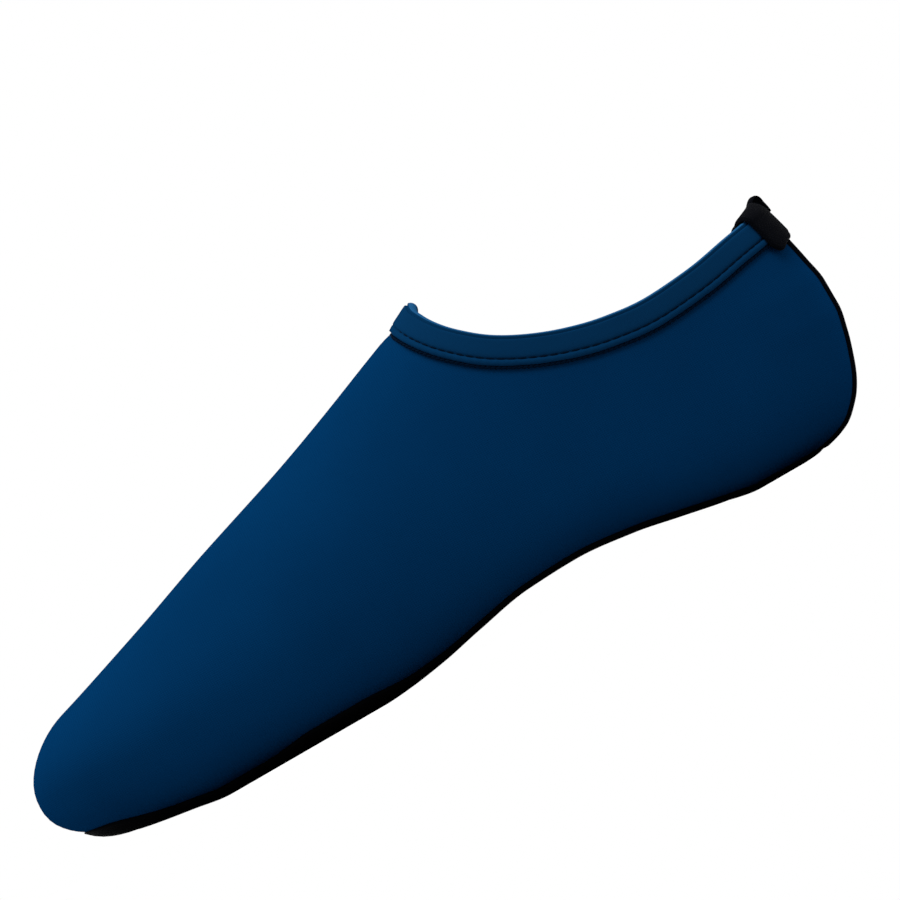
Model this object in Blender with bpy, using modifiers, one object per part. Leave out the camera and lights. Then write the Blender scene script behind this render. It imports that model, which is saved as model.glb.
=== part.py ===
"""A slip-on water shoe for the left foot, in metres, with Z up and the toe along -X.

The outer side of the foot is -Y. The origin is the middle of the heel's flat spot.
Points are worked out as (along, across, height): along runs from the back of the heel
to the toe, across is Y, and height is Z.
"""

import math

import bpy
import numpy as np

# Sizes of the upper
UPPER_LENGTH = 0.249
BALL_WIDTH = 0.092
HEEL_WIDTH = 0.062
INSTEP_HEIGHT = 0.0872
TOE_HEIGHT = 0.0355
TOE_TIP_HEIGHT = 0.022
TOE_ROUNDING = 0.018
TOE_TURN = 0.007
TURN_START = 0.150
HEEL_ROUNDING = 0.034
HEEL_TUCK = 0.024
UPPER_WALL = 0.0016

# Sizes of the collar
COLLAR_REACH = 0.0998
COLLAR_BACK_HEIGHT = 0.062
COLLAR_LOW_HEIGHT = 0.0559
COLLAR_CROWN = 0.9
BINDING_WIDTH = 0.0070
BINDING_THICKNESS = 0.0008

# Sizes of the sole
ARCH_RISE = 0.0074
INNER_ARCH_RISE = 0.003
TOE_SPRING = 0.0077
SOLE_THICKNESS = 0.0022
INSOLE_THICKNESS = 0.0016
SOLE_EDGE_RISE = 0.0016
SOLE_EDGE_THICKNESS = 0.001
GROOVE_WIDTH = 0.0022
GROOVE_DEPTH = 0.0006
GROOVE_PITCH = 0.0075
GROOVE_LENGTH = 0.040
FOREFOOT_GROOVES = 7
HEEL_SPOT = 0.035
FOREFOOT_SPOT = 0.176

# Sizes of the heel tape and the heel tab
TAPE_WIDTH = 0.014
TAPE_THICKNESS = 0.0007
TAPE_BOTTOM_HEIGHT = 0.0017
TAB_WIDTH = 0.039
TAB_THICKNESS = 0.0009
TAB_DROP = 0.0094
TAB_INSIDE_DROP = 0.0075
TAB_PEAK = 0.0022

# Clearance between pieces that touch, and under a band on the inside of a bend
CLEARANCE = 0.0003
INSIDE_CLEARANCE = 0.0005
INSOLE_CLEARANCE = 0.0007

# Roundness of the last's sections, as powers of a rounded box, and how far they narrow
# toward the sole
TOP_POWER = 1.9
BOTTOM_POWER = 5.5
TOE_BOTTOM_POWER = 3.8
TOE_POWER = 2.2
HEEL_POWER = 2.2
BOTTOM_TAPER = 0.10

# Meshes: meridians round the foot, rows up each one, and steps of the small pieces
MERIDIANS = 84
UNDER_ROWS = 3
WALL_ROWS = 14
UNDER_SHARE = 0.62
UNDER_STEP = 0.3
EDGE_THINNING = 0.25
LINE_SAMPLES = 300
LEAN_BACK = 1.6
BEND_WEIGHT = 0.014
PATH_STEPS = 160
HALVINGS = 30
EVEN_STEPS = 2
EVEN_SHARE = 0.012
FOLD_STEPS = 3
TAPE_COLUMNS = 5
TAPE_ROWS = 24
TAB_COLUMNS = 17

# Interior line that the meridians are aimed from
SPINE_BACK = 0.045
TOE_PAST_SPINE = 0.036
SPINE_FRONT = UPPER_LENGTH - TOE_PAST_SPINE
COLLAR_SPINE_BACK = 0.035
COLLAR_SPINE_FRONT = 0.080
COLLAR_SPINE_HEIGHT = 0.045

# Colours
NAVY = (0.001, 0.035, 0.112)
BINDING_NAVY = (0.004, 0.030, 0.092)
LINING_NAVY = (0.003, 0.020, 0.055)
BLACK_RUBBER = (0.008, 0.009, 0.011)
BLACK_TAPE = (0.006, 0.007, 0.010)

# Sections of the last. Columns: share of the upper's length, outer edge, inner edge,
# crown of the section, height of its widest point.
SECTIONS = (
    (0.00, 0.495 * HEEL_WIDTH, 0.495 * HEEL_WIDTH, 1.19 * INSTEP_HEIGHT, 0.25 * INSTEP_HEIGHT),
    (0.14, 0.500 * HEEL_WIDTH, 0.500 * HEEL_WIDTH, 1.20 * INSTEP_HEIGHT, 0.25 * INSTEP_HEIGHT),
    (0.25, 0.520 * HEEL_WIDTH, 0.505 * HEEL_WIDTH, 1.16 * INSTEP_HEIGHT, 0.26 * INSTEP_HEIGHT),
    (0.33, 0.540 * HEEL_WIDTH, 0.510 * HEEL_WIDTH, 1.105 * INSTEP_HEIGHT, 0.27 * INSTEP_HEIGHT),
    (0.40, 0.375 * BALL_WIDTH, 0.352 * BALL_WIDTH, 1.00 * INSTEP_HEIGHT, 0.28 * INSTEP_HEIGHT),
    (0.47, 0.403 * BALL_WIDTH, 0.367 * BALL_WIDTH, 0.920 * INSTEP_HEIGHT, 0.28 * INSTEP_HEIGHT),
    (0.53, 0.440 * BALL_WIDTH, 0.392 * BALL_WIDTH, 0.852 * INSTEP_HEIGHT, 0.27 * INSTEP_HEIGHT),
    (0.60, 0.485 * BALL_WIDTH, 0.435 * BALL_WIDTH, 0.778 * INSTEP_HEIGHT, 0.26 * INSTEP_HEIGHT),
    (0.66, 0.505 * BALL_WIDTH, 0.473 * BALL_WIDTH, 0.722 * INSTEP_HEIGHT, 0.25 * INSTEP_HEIGHT),
    (0.72, 0.495 * BALL_WIDTH, 0.495 * BALL_WIDTH, 0.667 * INSTEP_HEIGHT, 0.24 * INSTEP_HEIGHT),
    (0.80, 0.440 * BALL_WIDTH, 0.485 * BALL_WIDTH, 1.44 * TOE_HEIGHT, 0.24 * INSTEP_HEIGHT),
    (0.86, 0.375 * BALL_WIDTH, 0.460 * BALL_WIDTH, 1.30 * TOE_HEIGHT, 0.95 * TOE_TIP_HEIGHT),
    (0.92, 0.285 * BALL_WIDTH, 0.415 * BALL_WIDTH, 1.165 * TOE_HEIGHT, TOE_TIP_HEIGHT),
    (0.96, 0.220 * BALL_WIDTH, 0.370 * BALL_WIDTH, 1.085 * TOE_HEIGHT, TOE_TIP_HEIGHT),
    (1.00, 0.150 * BALL_WIDTH, 0.310 * BALL_WIDTH, TOE_HEIGHT, TOE_TIP_HEIGHT),
)

# Back of the heel. Columns: share of the collar's height there, share of the heel's tuck.
HEEL_BACK = (
    (0.02, 1.00),
    (0.03, 0.87),
    (0.048, 0.71),
    (0.073, 0.575),
    (0.113, 0.458),
    (0.161, 0.35),
    (0.226, 0.254),
    (0.306, 0.175),
    (0.403, 0.100),
    (0.516, 0.046),
    (0.629, 0.046),
    (0.742, 0.096),
    (0.855, 0.158),
    (0.968, 0.233),
    (1.129, 0.375),
)

# Ground line of the sole. Columns: share of the length, share of the arch's rise, share
# of the toe's spring.
GROUND = (
    (0.00, 0.00, 0.00),
    (0.165, 0.00, 0.00),
    (0.21, 0.20, 0.00),
    (0.26, 0.50, 0.00),
    (0.31, 0.80, 0.00),
    (0.375, 1.00, 0.00),
    (0.435, 0.93, 0.00),
    (0.50, 0.58, 0.00),
    (0.55, 0.26, 0.00),
    (0.60, 0.05, 0.00),
    (0.63, 0.00, 0.00),
    (0.81, 0.00, 0.00),
    (0.855, 0.00, 0.20),
    (0.895, 0.00, 0.40),
    (0.935, 0.00, 0.64),
    (0.97, 0.00, 0.82),
    (1.00, 0.00, 1.00),
)

# Sole's thickness and how far its edge climbs the upper. Columns: share of the length,
# share of the sole's thickness, share of the edge's rise, share of the edge's thickness.
SOLE_EDGE = (
    (0.00, 0.42, 0.15, 0.60),
    (0.12, 0.42, 0.15, 0.60),
    (0.20, 0.50, 0.20, 0.75),
    (0.28, 0.55, 0.30, 0.85),
    (0.50, 0.55, 0.30, 0.85),
    (0.58, 0.75, 0.45, 1.00),
    (0.64, 1.00, 1.00, 1.00),
    (0.70, 1.00, 1.00, 1.00),
    (0.76, 1.00, 0.25, 1.00),
    (0.86, 1.00, 0.25, 1.00),
    (0.90, 1.00, 0.60, 0.95),
    (0.94, 0.90, 1.20, 0.75),
    (0.97, 0.85, 1.25, 0.45),
    (1.00, 0.80, 1.25, 0.35),
)

# Collar line seen from the side. Columns: share of the collar's reach, share of the way
# from its low point up to the instep's height.
COLLAR_LINE = (
    (0.055, 0.195),
    (0.110, 0.155),
    (0.190, 0.105),
    (0.310, 0.032),
    (0.450, 0.000),
    (0.570, 0.042),
    (0.680, 0.132),
    (0.780, 0.262),
    (0.855, 0.400),
    (0.908, 0.540),
    (0.950, 0.680),
    (0.980, 0.820),
    (0.996, 0.930),
)

# Heel tab. Columns: share of half its width, share of the outer flap's drop, share of the
# inner flap's drop, share of the peak on its fold.
TAB_SHAPE = (
    (0.00, 0.95, 1.00, 1.00),
    (0.30, 0.95, 1.00, 0.75),
    (0.50, 0.97, 1.00, 0.52),
    (0.70, 1.02, 0.97, 0.34),
    (0.85, 1.10, 0.92, 0.20),
    (0.93, 1.02, 0.85, 0.10),
    (1.00, 0.80, 0.70, 0.00),
)


def clear_scene():
    """Takes the startup objects away."""
    for item in list(bpy.data.objects):
        bpy.data.objects.remove(item, do_unlink=True)


def column(table, number):
    return np.array([row[number] for row in table])


def smooth(table, number, at):
    """A column of a table between its rows, as a curve without overshoot."""
    x = column(table, 0)
    y = column(table, number)
    step = np.diff(x)
    slope = np.diff(y) / step
    tangent = np.zeros(len(x))
    same_way = slope[:-1] * slope[1:] > 0
    both = np.where(same_way, slope[:-1] + slope[1:], 1)
    tangent[1:-1] = np.where(same_way, 2 * slope[:-1] * slope[1:] / both, 0)
    tangent[0] = slope[0]
    tangent[-1] = slope[-1]
    at = np.clip(at, x[0], x[-1])
    k = np.clip(np.searchsorted(x, at) - 1, 0, len(x) - 2)
    t = (at - x[k]) / step[k]
    rise = y[k + 1] - y[k]
    c = 3 * rise - (2 * tangent[k] + tangent[k + 1]) * step[k]
    d = (tangent[k] + tangent[k + 1]) * step[k] - 2 * rise
    return y[k] + t * (tangent[k] * step[k] + t * (c + t * d))


def ground(along, across):
    """Height of the sole's underside: heel spot, arch, forefoot spot and toe spring."""
    share = along / UPPER_LENGTH
    arch = smooth(GROUND, 1, share)
    inward = np.clip(0.5 + across / HEEL_WIDTH, 0, 1)
    spring = smooth(GROUND, 2, share)
    return arch * (ARCH_RISE + inward * INNER_ARCH_RISE) + spring * TOE_SPRING


def sole_thickness(along):
    return smooth(SOLE_EDGE, 1, along / UPPER_LENGTH) * SOLE_THICKNESS


def edge_thickness(along):
    return smooth(SOLE_EDGE, 3, along / UPPER_LENGTH) * SOLE_EDGE_THICKNESS


def underside(along, across):
    """Height of the upper's underside, which lies on the sole."""
    return ground(along, across) + sole_thickness(along) + CLEARANCE


def edge_height(along, across):
    """Height of the sole's top edge on the side of the upper."""
    rise = smooth(SOLE_EDGE, 2, along / UPPER_LENGTH) * SOLE_EDGE_RISE
    return underside(along, across) + rise


def eased(t):
    """From 0 to 1, level at both ends."""
    t = np.clip(t, 0, 1)
    return t * t * (3 - 2 * t)


def axis(along):
    """Middle line of the last, which turns toward the big toe."""
    return TOE_TURN * eased((along - TURN_START) / (UPPER_LENGTH - TURN_START))


def section_size(number, along):
    """A column of the sections, evened over a few millimetres either way."""
    total = 0
    for step in range(-EVEN_STEPS, EVEN_STEPS + 1):
        weight = (EVEN_STEPS + 1 - abs(step)) / (EVEN_STEPS + 1) ** 2
        total = total + weight * smooth(SECTIONS, number, along / UPPER_LENGTH + step * EVEN_SHARE)
    return total


def heel_centre(height):
    """How far the back of the heel is set in at a height."""
    return smooth(HEEL_BACK, 1, height / COLLAR_BACK_HEIGHT) * HEEL_TUCK


def last_form(along, across, height):
    """Below 0 inside the last, 0 on its surface and above 0 outside it."""
    middle = axis(along)
    edge = np.where(across < middle, section_size(1, along) + middle, section_size(2, along) - middle)
    widest = section_size(4, along)
    above = height > widest
    room = np.where(above, section_size(3, along) - widest, widest - underside(along, across))
    level = np.abs(height - widest) / room
    set_in = heel_centre(height)
    from_back = np.clip((along - set_in) / HEEL_ROUNDING, 0, 1)
    heel = (1 - (1 - from_back) ** HEEL_POWER) ** (1 / HEEL_POWER)
    taper = np.where(above, 1, 1 - BOTTOM_TAPER * level**2)
    half = np.maximum(edge * heel * taper, 1e-6)
    aside = np.abs(across - middle) / half
    toward_toe = eased((along - FOREFOOT_SPOT) / (UPPER_LENGTH - FOREFOOT_SPOT))
    bottom_power = BOTTOM_POWER + (TOE_BOTTOM_POWER - BOTTOM_POWER) * toward_toe
    power = np.where(above, TOP_POWER, bottom_power)
    section = (np.minimum(aside, 50) ** power + np.minimum(level, 50) ** power) ** (1 / power)
    toe = np.clip((along - (UPPER_LENGTH - TOE_ROUNDING)) / TOE_ROUNDING, 0, 50)
    form = section**TOE_POWER + toe**TOE_POWER - 1
    return np.where(along > set_in, form, 1)


def outward_hit(start, direction):
    """Where rays from inside the last leave it."""
    near = np.zeros(start.shape[:-1])
    far = np.full(start.shape[:-1], UPPER_LENGTH)
    for _ in range(HALVINGS):
        mid = (near + far) / 2
        point = start + direction * mid[..., None]
        inside = last_form(point[..., 0], point[..., 1], point[..., 2]) < 0
        near = np.where(inside, mid, near)
        far = np.where(inside, far, mid)
    return start + direction * ((near + far) / 2)[..., None]


def unit(vectors):
    """Vectors made one unit long."""
    return vectors / np.maximum(np.linalg.norm(vectors, axis=-1, keepdims=True), 1e-12)


def at_shares(points, shares):
    """Points at shares of the length of a line."""
    run = np.concatenate([[0], np.cumsum(np.linalg.norm(np.diff(points, axis=0), axis=1))])
    return np.stack([np.interp(shares * run[-1], run, points[:, k]) for k in range(points.shape[1])], axis=1)


def spine_point(along):
    """Points of the line inside the last that the widest outline is aimed from."""
    along = np.clip(along, SPINE_BACK, SPINE_FRONT)
    return np.stack([along, axis(along), section_size(4, along)], axis=-1)


def plan_line(side, count):
    """Points of the widest outline, from the back of the heel to the tip of the toe."""
    t = np.linspace(0, math.pi, LINE_SAMPLES)
    along = UPPER_LENGTH * (0.5 - 0.5 * np.cos(t))
    start = spine_point(along)
    back = along < SPINE_BACK
    front = along > SPINE_FRONT
    turn = np.where(back, 1 - along / SPINE_BACK, (along - SPINE_FRONT) / (UPPER_LENGTH - SPINE_FRONT))
    turn = np.where(back | front, turn, 0) * math.pi / 2
    forward = np.where(back, -1.0, 1.0) * np.sin(turn)
    aim = np.stack([forward, side * np.cos(turn), 0 * along], axis=-1)
    return at_shares(outward_hit(start, aim), np.linspace(0, 1, count))


def collar_line(side, shares):
    """Points of the collar's edge, from the centre back to the centre front.

    The last tenth crosses the instep's crown, so it is laid on the last once more.
    """
    way = column(COLLAR_LINE, 1)
    t = np.linspace(0, 1, len(way))
    fine = np.linspace(0, 1, LINE_SAMPLES)
    table = np.stack([t, column(COLLAR_LINE, 0), way], axis=1)
    along = COLLAR_REACH * smooth(table, 1, fine)
    front_start = np.array([[COLLAR_REACH, 0.0, COLLAR_LOW_HEIGHT]])
    front = outward_hit(front_start, np.array([[0.0, 0.0, 1.0]]))
    height = COLLAR_LOW_HEIGHT + (front[0, 2] - COLLAR_LOW_HEIGHT) * smooth(table, 2, fine)
    start = np.stack([along, axis(along), height], axis=-1)
    points = outward_hit(start, np.broadcast_to([0.0, side, 0.0], start.shape))
    back_height = np.full(1, COLLAR_BACK_HEIGHT)
    back = np.array([[heel_centre(back_height)[0], 0, COLLAR_BACK_HEIGHT]])
    line = at_shares(np.concatenate([back, points, front]), shares)
    under = np.stack([line[:, 0], axis(line[:, 0]), 0 * line[:, 0] + COLLAR_LOW_HEIGHT], axis=-1)
    on_last = outward_hit(under, unit(line - under))
    return np.where(line[:, :1] > COLLAR_CROWN * COLLAR_REACH, on_last, line)


def meridian_paths(count):
    """Lines on the last from under the foot, round its edge and up to the collar."""
    half = count // 2
    share = np.linspace(0, 1, half + 1)
    collar_share = LEAN_BACK * share - (LEAN_BACK - 1) * share**2
    low = []
    high = []
    for side in (-1.0, 1.0):
        plan = plan_line(side, half + 1)
        centre = spine_point(plan[:, 0])
        reach = plan - centre
        reach[:, 2] = 0
        near = np.zeros(half + 1)
        far = np.full(half + 1, 1.0)
        for _ in range(HALVINGS):
            mid = (near + far) / 2
            spot = centre + reach * mid[:, None]
            level = underside(spot[:, 0], spot[:, 1]) + SOLE_EDGE_THICKNESS
            inside = last_form(spot[:, 0], spot[:, 1], level) < 0
            near = np.where(inside, mid, near)
            far = np.where(inside, far, mid)
        spot = centre + reach * (UNDER_SHARE * near)[:, None]
        spot = np.stack([spot[:, 0], spot[:, 1], centre[:, 2]], axis=-1)
        low.append(outward_hit(spot, np.broadcast_to([0.0, 0.0, -1.0], spot.shape)))
        high.append(collar_line(side, collar_share))
    low = np.concatenate([low[0], low[1][-2:0:-1]])
    high = np.concatenate([high[0], high[1][-2:0:-1]])
    low_from = spine_point(low[:, 0])
    high_along = np.clip(high[:, 0], COLLAR_SPINE_BACK, COLLAR_SPINE_FRONT)
    high_from = np.stack([high_along, axis(high_along), 0 * high_along + COLLAR_SPINE_HEIGHT], axis=-1)
    t = np.linspace(0, 1, PATH_STEPS)[None, :, None]
    move = eased(t)
    start = low_from[:, None] * (1 - move) + high_from[:, None] * move
    low_aim = unit(low - low_from)[:, None]
    high_aim = unit(high - high_from)[:, None]
    turn = np.arccos(np.clip((low_aim * high_aim).sum(axis=-1, keepdims=True), -1, 1))
    aim = (np.sin((1 - t) * turn) * low_aim + np.sin(t * turn) * high_aim) / np.sin(turn)
    paths = outward_hit(start, unit(aim))
    paths[:, 0] = low
    paths[:, -1] = high
    return paths


def rows_on(path):
    """Rows on one meridian: under the foot, up to the sole's edge, up the wall, to the collar."""
    step = np.linalg.norm(np.diff(path, axis=0), axis=1)
    run = np.concatenate([[0], np.cumsum(step)])
    heading = unit(np.diff(path, axis=0))
    bend = np.arccos(np.clip((heading[:-1] * heading[1:]).sum(axis=1), -1, 1))
    weight = step + BEND_WEIGHT * np.concatenate([[0], bend])
    load = np.concatenate([[0], np.cumsum(weight)])
    over = path[:, 2] - edge_height(path[:, 0], path[:, 1])
    first = int(np.argmax(over > 0))
    part = -over[first - 1] / (over[first] - over[first - 1])
    seam = run[first - 1] + part * (run[first] - run[first - 1])
    cuff = run[-1] - BINDING_WIDTH
    seam_load, cuff_load = np.interp([seam, cuff], run, load)
    under = np.linspace(0, seam, UNDER_ROWS + 1)
    wall = np.interp(np.linspace(seam_load, cuff_load, WALL_ROWS + 1), load, run)
    spots = np.concatenate([under, wall[1:], [run[-1]]])
    return np.stack([np.interp(spots, run, path[:, k]) for k in range(3)], axis=1)


def upper_grid():
    """Columns round the upper from the back of the heel, rows from under it to the collar."""
    return np.stack([rows_on(path) for path in meridian_paths(MERIDIANS)])


def grid_normals(grid, closed=True):
    """Outward normals of a grid whose columns run round the shoe and whose rows run up."""
    if closed:
        round_way = np.roll(grid, -1, axis=0) - np.roll(grid, 1, axis=0)
    else:
        round_way = np.gradient(grid, axis=0)
    up_way = np.gradient(grid, axis=1)
    return unit(np.cross(round_way, up_way))


def world(points):
    """Turns (along, across, height) into X, Y and Z."""
    return np.stack([HEEL_SPOT - points[..., 0], points[..., 1], points[..., 2]], axis=-1)


def material(name, colour, roughness, sheen=0.0):
    made = bpy.data.materials.new(name)
    made.use_nodes = True
    shader = made.node_tree.nodes["Principled BSDF"]
    shader.inputs["Base Color"].default_value = (*colour, 1)
    shader.inputs["Roughness"].default_value = roughness
    shader.inputs["Metallic"].default_value = 0
    shader.inputs["Sheen Weight"].default_value = sheen
    made.diffuse_color = (*colour, 1)
    made.roughness = roughness
    return made


def mesh_object(name, grids, faces, paint):
    """A mesh from grids of points. X runs against along, so each face is turned round."""
    points = np.concatenate([world(grid).reshape(-1, 3) for grid in grids])
    mesh = bpy.data.meshes.new(name)
    mesh.from_pydata(points.tolist(), [], [tuple(reversed(face)) for face in faces])
    mesh.materials.append(paint)
    mesh.update()
    return bpy.data.objects.new(name, mesh)


def grid_faces(columns, rows, closed):
    """Faces of a grid numbered column by column, all split along the same diagonal."""
    faces = []
    for i in range(columns if closed else columns - 1):
        a = i * rows
        b = (i + 1) % columns * rows
        for k in range(rows - 1):
            faces.append((a + k, b + k, b + k + 1))
            faces.append((a + k, b + k + 1, a + k + 1))
    return faces


def backed(faces, shift):
    """The same faces on the points numbered from shift on, turned the other way."""
    return [tuple(shift + corner for corner in reversed(face)) for face in faces]


def sheet(name, grid, thickness, inward, closed, paint):
    """A grid of points thickened by Solidify."""
    columns, rows = grid.shape[:2]
    thing = mesh_object(name, [grid], grid_faces(columns, rows, closed), paint)
    wall = thing.modifiers.new("wall", "SOLIDIFY")
    wall.thickness = thickness
    wall.offset = -1 if inward else 1
    wall.use_even_offset = True
    wall.use_rim = True
    return thing


def strip_across(loop):
    """Faces that close a loop of points by joining each point to the one opposite."""
    count = len(loop)
    faces = []
    for i in range(count // 2):
        corners = (loop[i], loop[(count - i) % count], loop[count - i - 1], loop[i + 1])
        faces.append(tuple(dict.fromkeys(corners)))
    return faces


def dish(name, outer, inner, paint):
    """A solid between two cups, each a grid of rings closed underneath by a strip."""
    columns, rows = outer.shape[:2]
    shift = columns * rows
    cup = grid_faces(columns, rows, True) + strip_across([i * rows for i in range(columns)])
    faces = cup + backed(cup, shift)
    for i in range(columns):
        a = i * rows + rows - 1
        b = (i + 1) % columns * rows + rows - 1
        faces.append((a, b, shift + b, shift + a))
    return mesh_object(name, [outer, inner], faces, paint)


def slab(name, outer, inner, paint):
    """A solid between two open grids."""
    columns, rows = outer.shape[:2]
    shift = columns * rows
    face = grid_faces(columns, rows, False)
    faces = face + backed(face, shift)
    low = [i * rows for i in range(columns)]
    high = [i * rows + rows - 1 for i in range(columns)]
    first = list(range(rows))
    last = [(columns - 1) * rows + k for k in range(rows)]
    for line in (low[::-1], high, first, last[::-1]):
        for a, b in zip(line, line[1:]):
            faces.append((a, b, shift + b, shift + a))
    return mesh_object(name, [outer, inner], faces, paint)


def collar_frame(grid, normals):
    """The middle of the band's fold, its radius, and the outward and upward directions."""
    edge = grid[:, -1]
    out = normals[:, -1]
    up = edge - grid[:, -2]
    up = unit(up - (up * out).sum(axis=-1, keepdims=True) * out)
    radius = (UPPER_WALL + CLEARANCE + INSIDE_CLEARANCE) / 2
    return edge + out * (CLEARANCE - radius), radius, out, up


def binding_grid(grid):
    """Rows from the band's lower edge outside, over the collar, to its edge inside."""
    normals = grid_normals(grid)
    middle, radius, out, up = collar_frame(grid, normals)
    rows = [grid[:, -2] + normals[:, -2] * CLEARANCE]
    for angle in np.linspace(0, math.pi, FOLD_STEPS + 1):
        rows.append(middle + radius * (math.cos(angle) * out + math.sin(angle) * up))
    rows.append(grid[:, -2] - normals[:, -2] * (UPPER_WALL + INSIDE_CLEARANCE))
    return np.stack(rows, axis=1)


def sole_grids(grid):
    """The sole's underside and edge, and its upper face under the shoe."""
    normals = grid_normals(grid)
    rows = UNDER_ROWS + 1
    inner = grid[:, :rows] + normals[:, :rows] * CLEARANCE
    outer = inner.copy()
    for k in range(rows - 1):
        lean = k / UNDER_ROWS
        spot = grid[:, k] * (1 - UNDER_STEP * lean) + grid[:, k + 1] * UNDER_STEP * lean
        depth = sole_thickness(spot[:, 0])[:, None] * (1 - EDGE_THINNING * lean)
        outer[:, k] = spot + normals[:, k] * (CLEARANCE + depth)
        floor = ground(outer[:, k, 0], outer[:, k, 1])
        outer[:, k, 2] = floor if k == 0 else np.maximum(outer[:, k, 2], floor)
    out = CLEARANCE + edge_thickness(grid[:, rows - 1, 0])[:, None]
    outer[:, -1] = grid[:, rows - 1] + normals[:, rows - 1] * out
    outer[:, 0, :2] = inner[:, 0, :2]
    return outer, inner


def insole_grids(grid):
    """The bottom cloth, edge to edge with the upper's underside."""
    inward = unit(grid[:, 0] - grid[:, 1]) * INSOLE_CLEARANCE
    inward[:, 2] = 0
    low = grid[:, 0] + inward
    high = low + np.array([0, 0, INSOLE_THICKNESS])
    return low[:, None], high[:, None]


def tape_grid(top_height):
    """The tape up the back seam, a little off the upper."""
    height = np.linspace(TAPE_BOTTOM_HEIGHT, top_height, LINE_SAMPLES)
    line = np.stack([heel_centre(height), 0 * height, height], axis=1)
    line = at_shares(line, np.linspace(0, 1, TAPE_ROWS))
    columns = []
    for across in np.linspace(-TAPE_WIDTH / 2, TAPE_WIDTH / 2, TAPE_COLUMNS)[::-1]:
        start = np.stack([0 * line[:, 0] + SPINE_BACK, across + 0 * line[:, 0], line[:, 2]], axis=1)
        columns.append(outward_hit(start, np.broadcast_to([-1.0, 0.0, 0.0], start.shape)))
    grid = np.stack(columns)
    return grid + grid_normals(grid, False) * CLEARANCE


def tab_grids():
    """Outer and inner faces of the tab, from its outer lower edge over the collar's back."""
    share = np.linspace(-1, 1, TAB_COLUMNS)
    line = collar_line(1.0, np.linspace(0, 1, LINE_SAMPLES))
    length = np.linalg.norm(np.diff(line, axis=0), axis=1).sum()
    edge = []
    for s in share[::-1]:
        side = 1.0 if s > 0 else -1.0
        edge.append(collar_line(side, np.array([abs(s) * TAB_WIDTH / 2 / length]))[0])
    edge = np.stack(edge)
    size = np.abs(share[::-1])
    outer_drop = smooth(TAB_SHAPE, 1, size) * TAB_DROP
    inner_drop = smooth(TAB_SHAPE, 2, size) * TAB_INSIDE_DROP
    peak = smooth(TAB_SHAPE, 3, size) * TAB_PEAK
    wall = [edge]
    for drop in (outer_drop / 2, outer_drop):
        spot = edge - np.stack([0 * drop, 0 * drop, drop], axis=1)
        start = np.stack([0 * drop + SPINE_BACK, 0 * drop, spot[:, 2]], axis=1)
        wall.append(outward_hit(start, unit((spot - start) * np.array([1, 1, 0]))))
    wall = np.stack(wall[::-1], axis=1)
    normals = grid_normals(wall, False)
    middle, fold, out, up = collar_frame(wall, normals)
    off = 2 * CLEARANCE + BINDING_THICKNESS
    faces = []
    for depth, rise in ((off + TAB_THICKNESS, peak), (off, 0 * peak)):
        radius = fold + depth
        rows = [wall[:, k] + normals[:, k] * (CLEARANCE + depth) for k in range(wall.shape[1] - 1)]
        for angle in np.linspace(0, math.pi, FOLD_STEPS + 1):
            turn = math.cos(angle) * out + math.sin(angle) * up
            lift = np.stack([0 * rise, 0 * rise, math.sin(angle) * rise], axis=1)
            rows.append(middle + radius * turn + lift)
        rows.append(middle - up * inner_drop[:, None] - out * radius)
        faces.append(np.stack(rows, axis=1))
    return faces


def groove_cutter(name, along, count, length):
    """A row of bars that cut shallow grooves across the sole's flat."""
    bpy.ops.mesh.primitive_cube_add(size=1)
    bar = bpy.context.object
    bar.name = name
    first = along - GROOVE_PITCH * (count - 1) / 2
    for vertex in bar.data.vertices:
        x, y, z = vertex.co
        vertex.co = (HEEL_SPOT - first + x * GROOVE_WIDTH, y * length, z * 2 * GROOVE_DEPTH)
    copies = bar.modifiers.new("copies", "ARRAY")
    copies.count = count
    copies.use_relative_offset = False
    copies.use_constant_offset = True
    copies.constant_offset_displace = (-GROOVE_PITCH, 0, 0)
    bar.hide_render = True
    bar.display_type = "WIRE"
    return bar


def build():
    clear_scene()
    solids = bpy.data.collections.new("water_shoe")
    cutters = bpy.data.collections.new("cutters")
    for collection in (solids, cutters):
        bpy.context.scene.collection.children.link(collection)
    navy = material("navy_fabric", NAVY, 0.62, 0.25)
    band = material("binding_fabric", BINDING_NAVY, 0.65, 0.2)
    lining = material("lining_fabric", LINING_NAVY, 0.8, 0.1)
    rubber = material("black_rubber", BLACK_RUBBER, 0.5)
    woven = material("black_tape", BLACK_TAPE, 0.75, 0.1)

    grid = upper_grid()
    outer, inner = sole_grids(grid)
    low, high = insole_grids(grid)
    tab_outer, tab_inner = tab_grids()
    outsole = dish("outsole", outer, inner, rubber)
    pieces = [
        sheet("upper", grid, UPPER_WALL, True, True, navy),
        outsole,
        dish("insole", low, high, lining),
        sheet("collar_binding", binding_grid(grid), BINDING_THICKNESS, False, True, band),
        sheet("heel_tape", tape_grid(grid[0, -2, 2] - 2 * CLEARANCE), TAPE_THICKNESS, False, False, woven),
        slab("heel_tab", tab_outer, tab_inner, woven),
    ]
    for piece in pieces:
        solids.objects.link(piece)

    bars = groove_cutter("forefoot_grooves", FOREFOOT_SPOT, FOREFOOT_GROOVES, GROOVE_LENGTH)
    for collection in list(bars.users_collection):
        collection.objects.unlink(bars)
    cutters.objects.link(bars)
    cutters.hide_render = True
    cut = outsole.modifiers.new("grooves", "BOOLEAN")
    cut.operation = "DIFFERENCE"
    cut.solver = "EXACT"
    cut.object = bars


build()
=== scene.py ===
"""Dresses the water shoe: knit upper, folded collar band, heel tape, tab, sock and rubber sole.

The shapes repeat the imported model's sizes, in metres, on a much finer mesh. Points are
worked out as (along, across, height): along runs from the back of the heel to the toe.
"""

import math

import bpy
import numpy as np
from mathutils import Matrix, Vector

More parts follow.
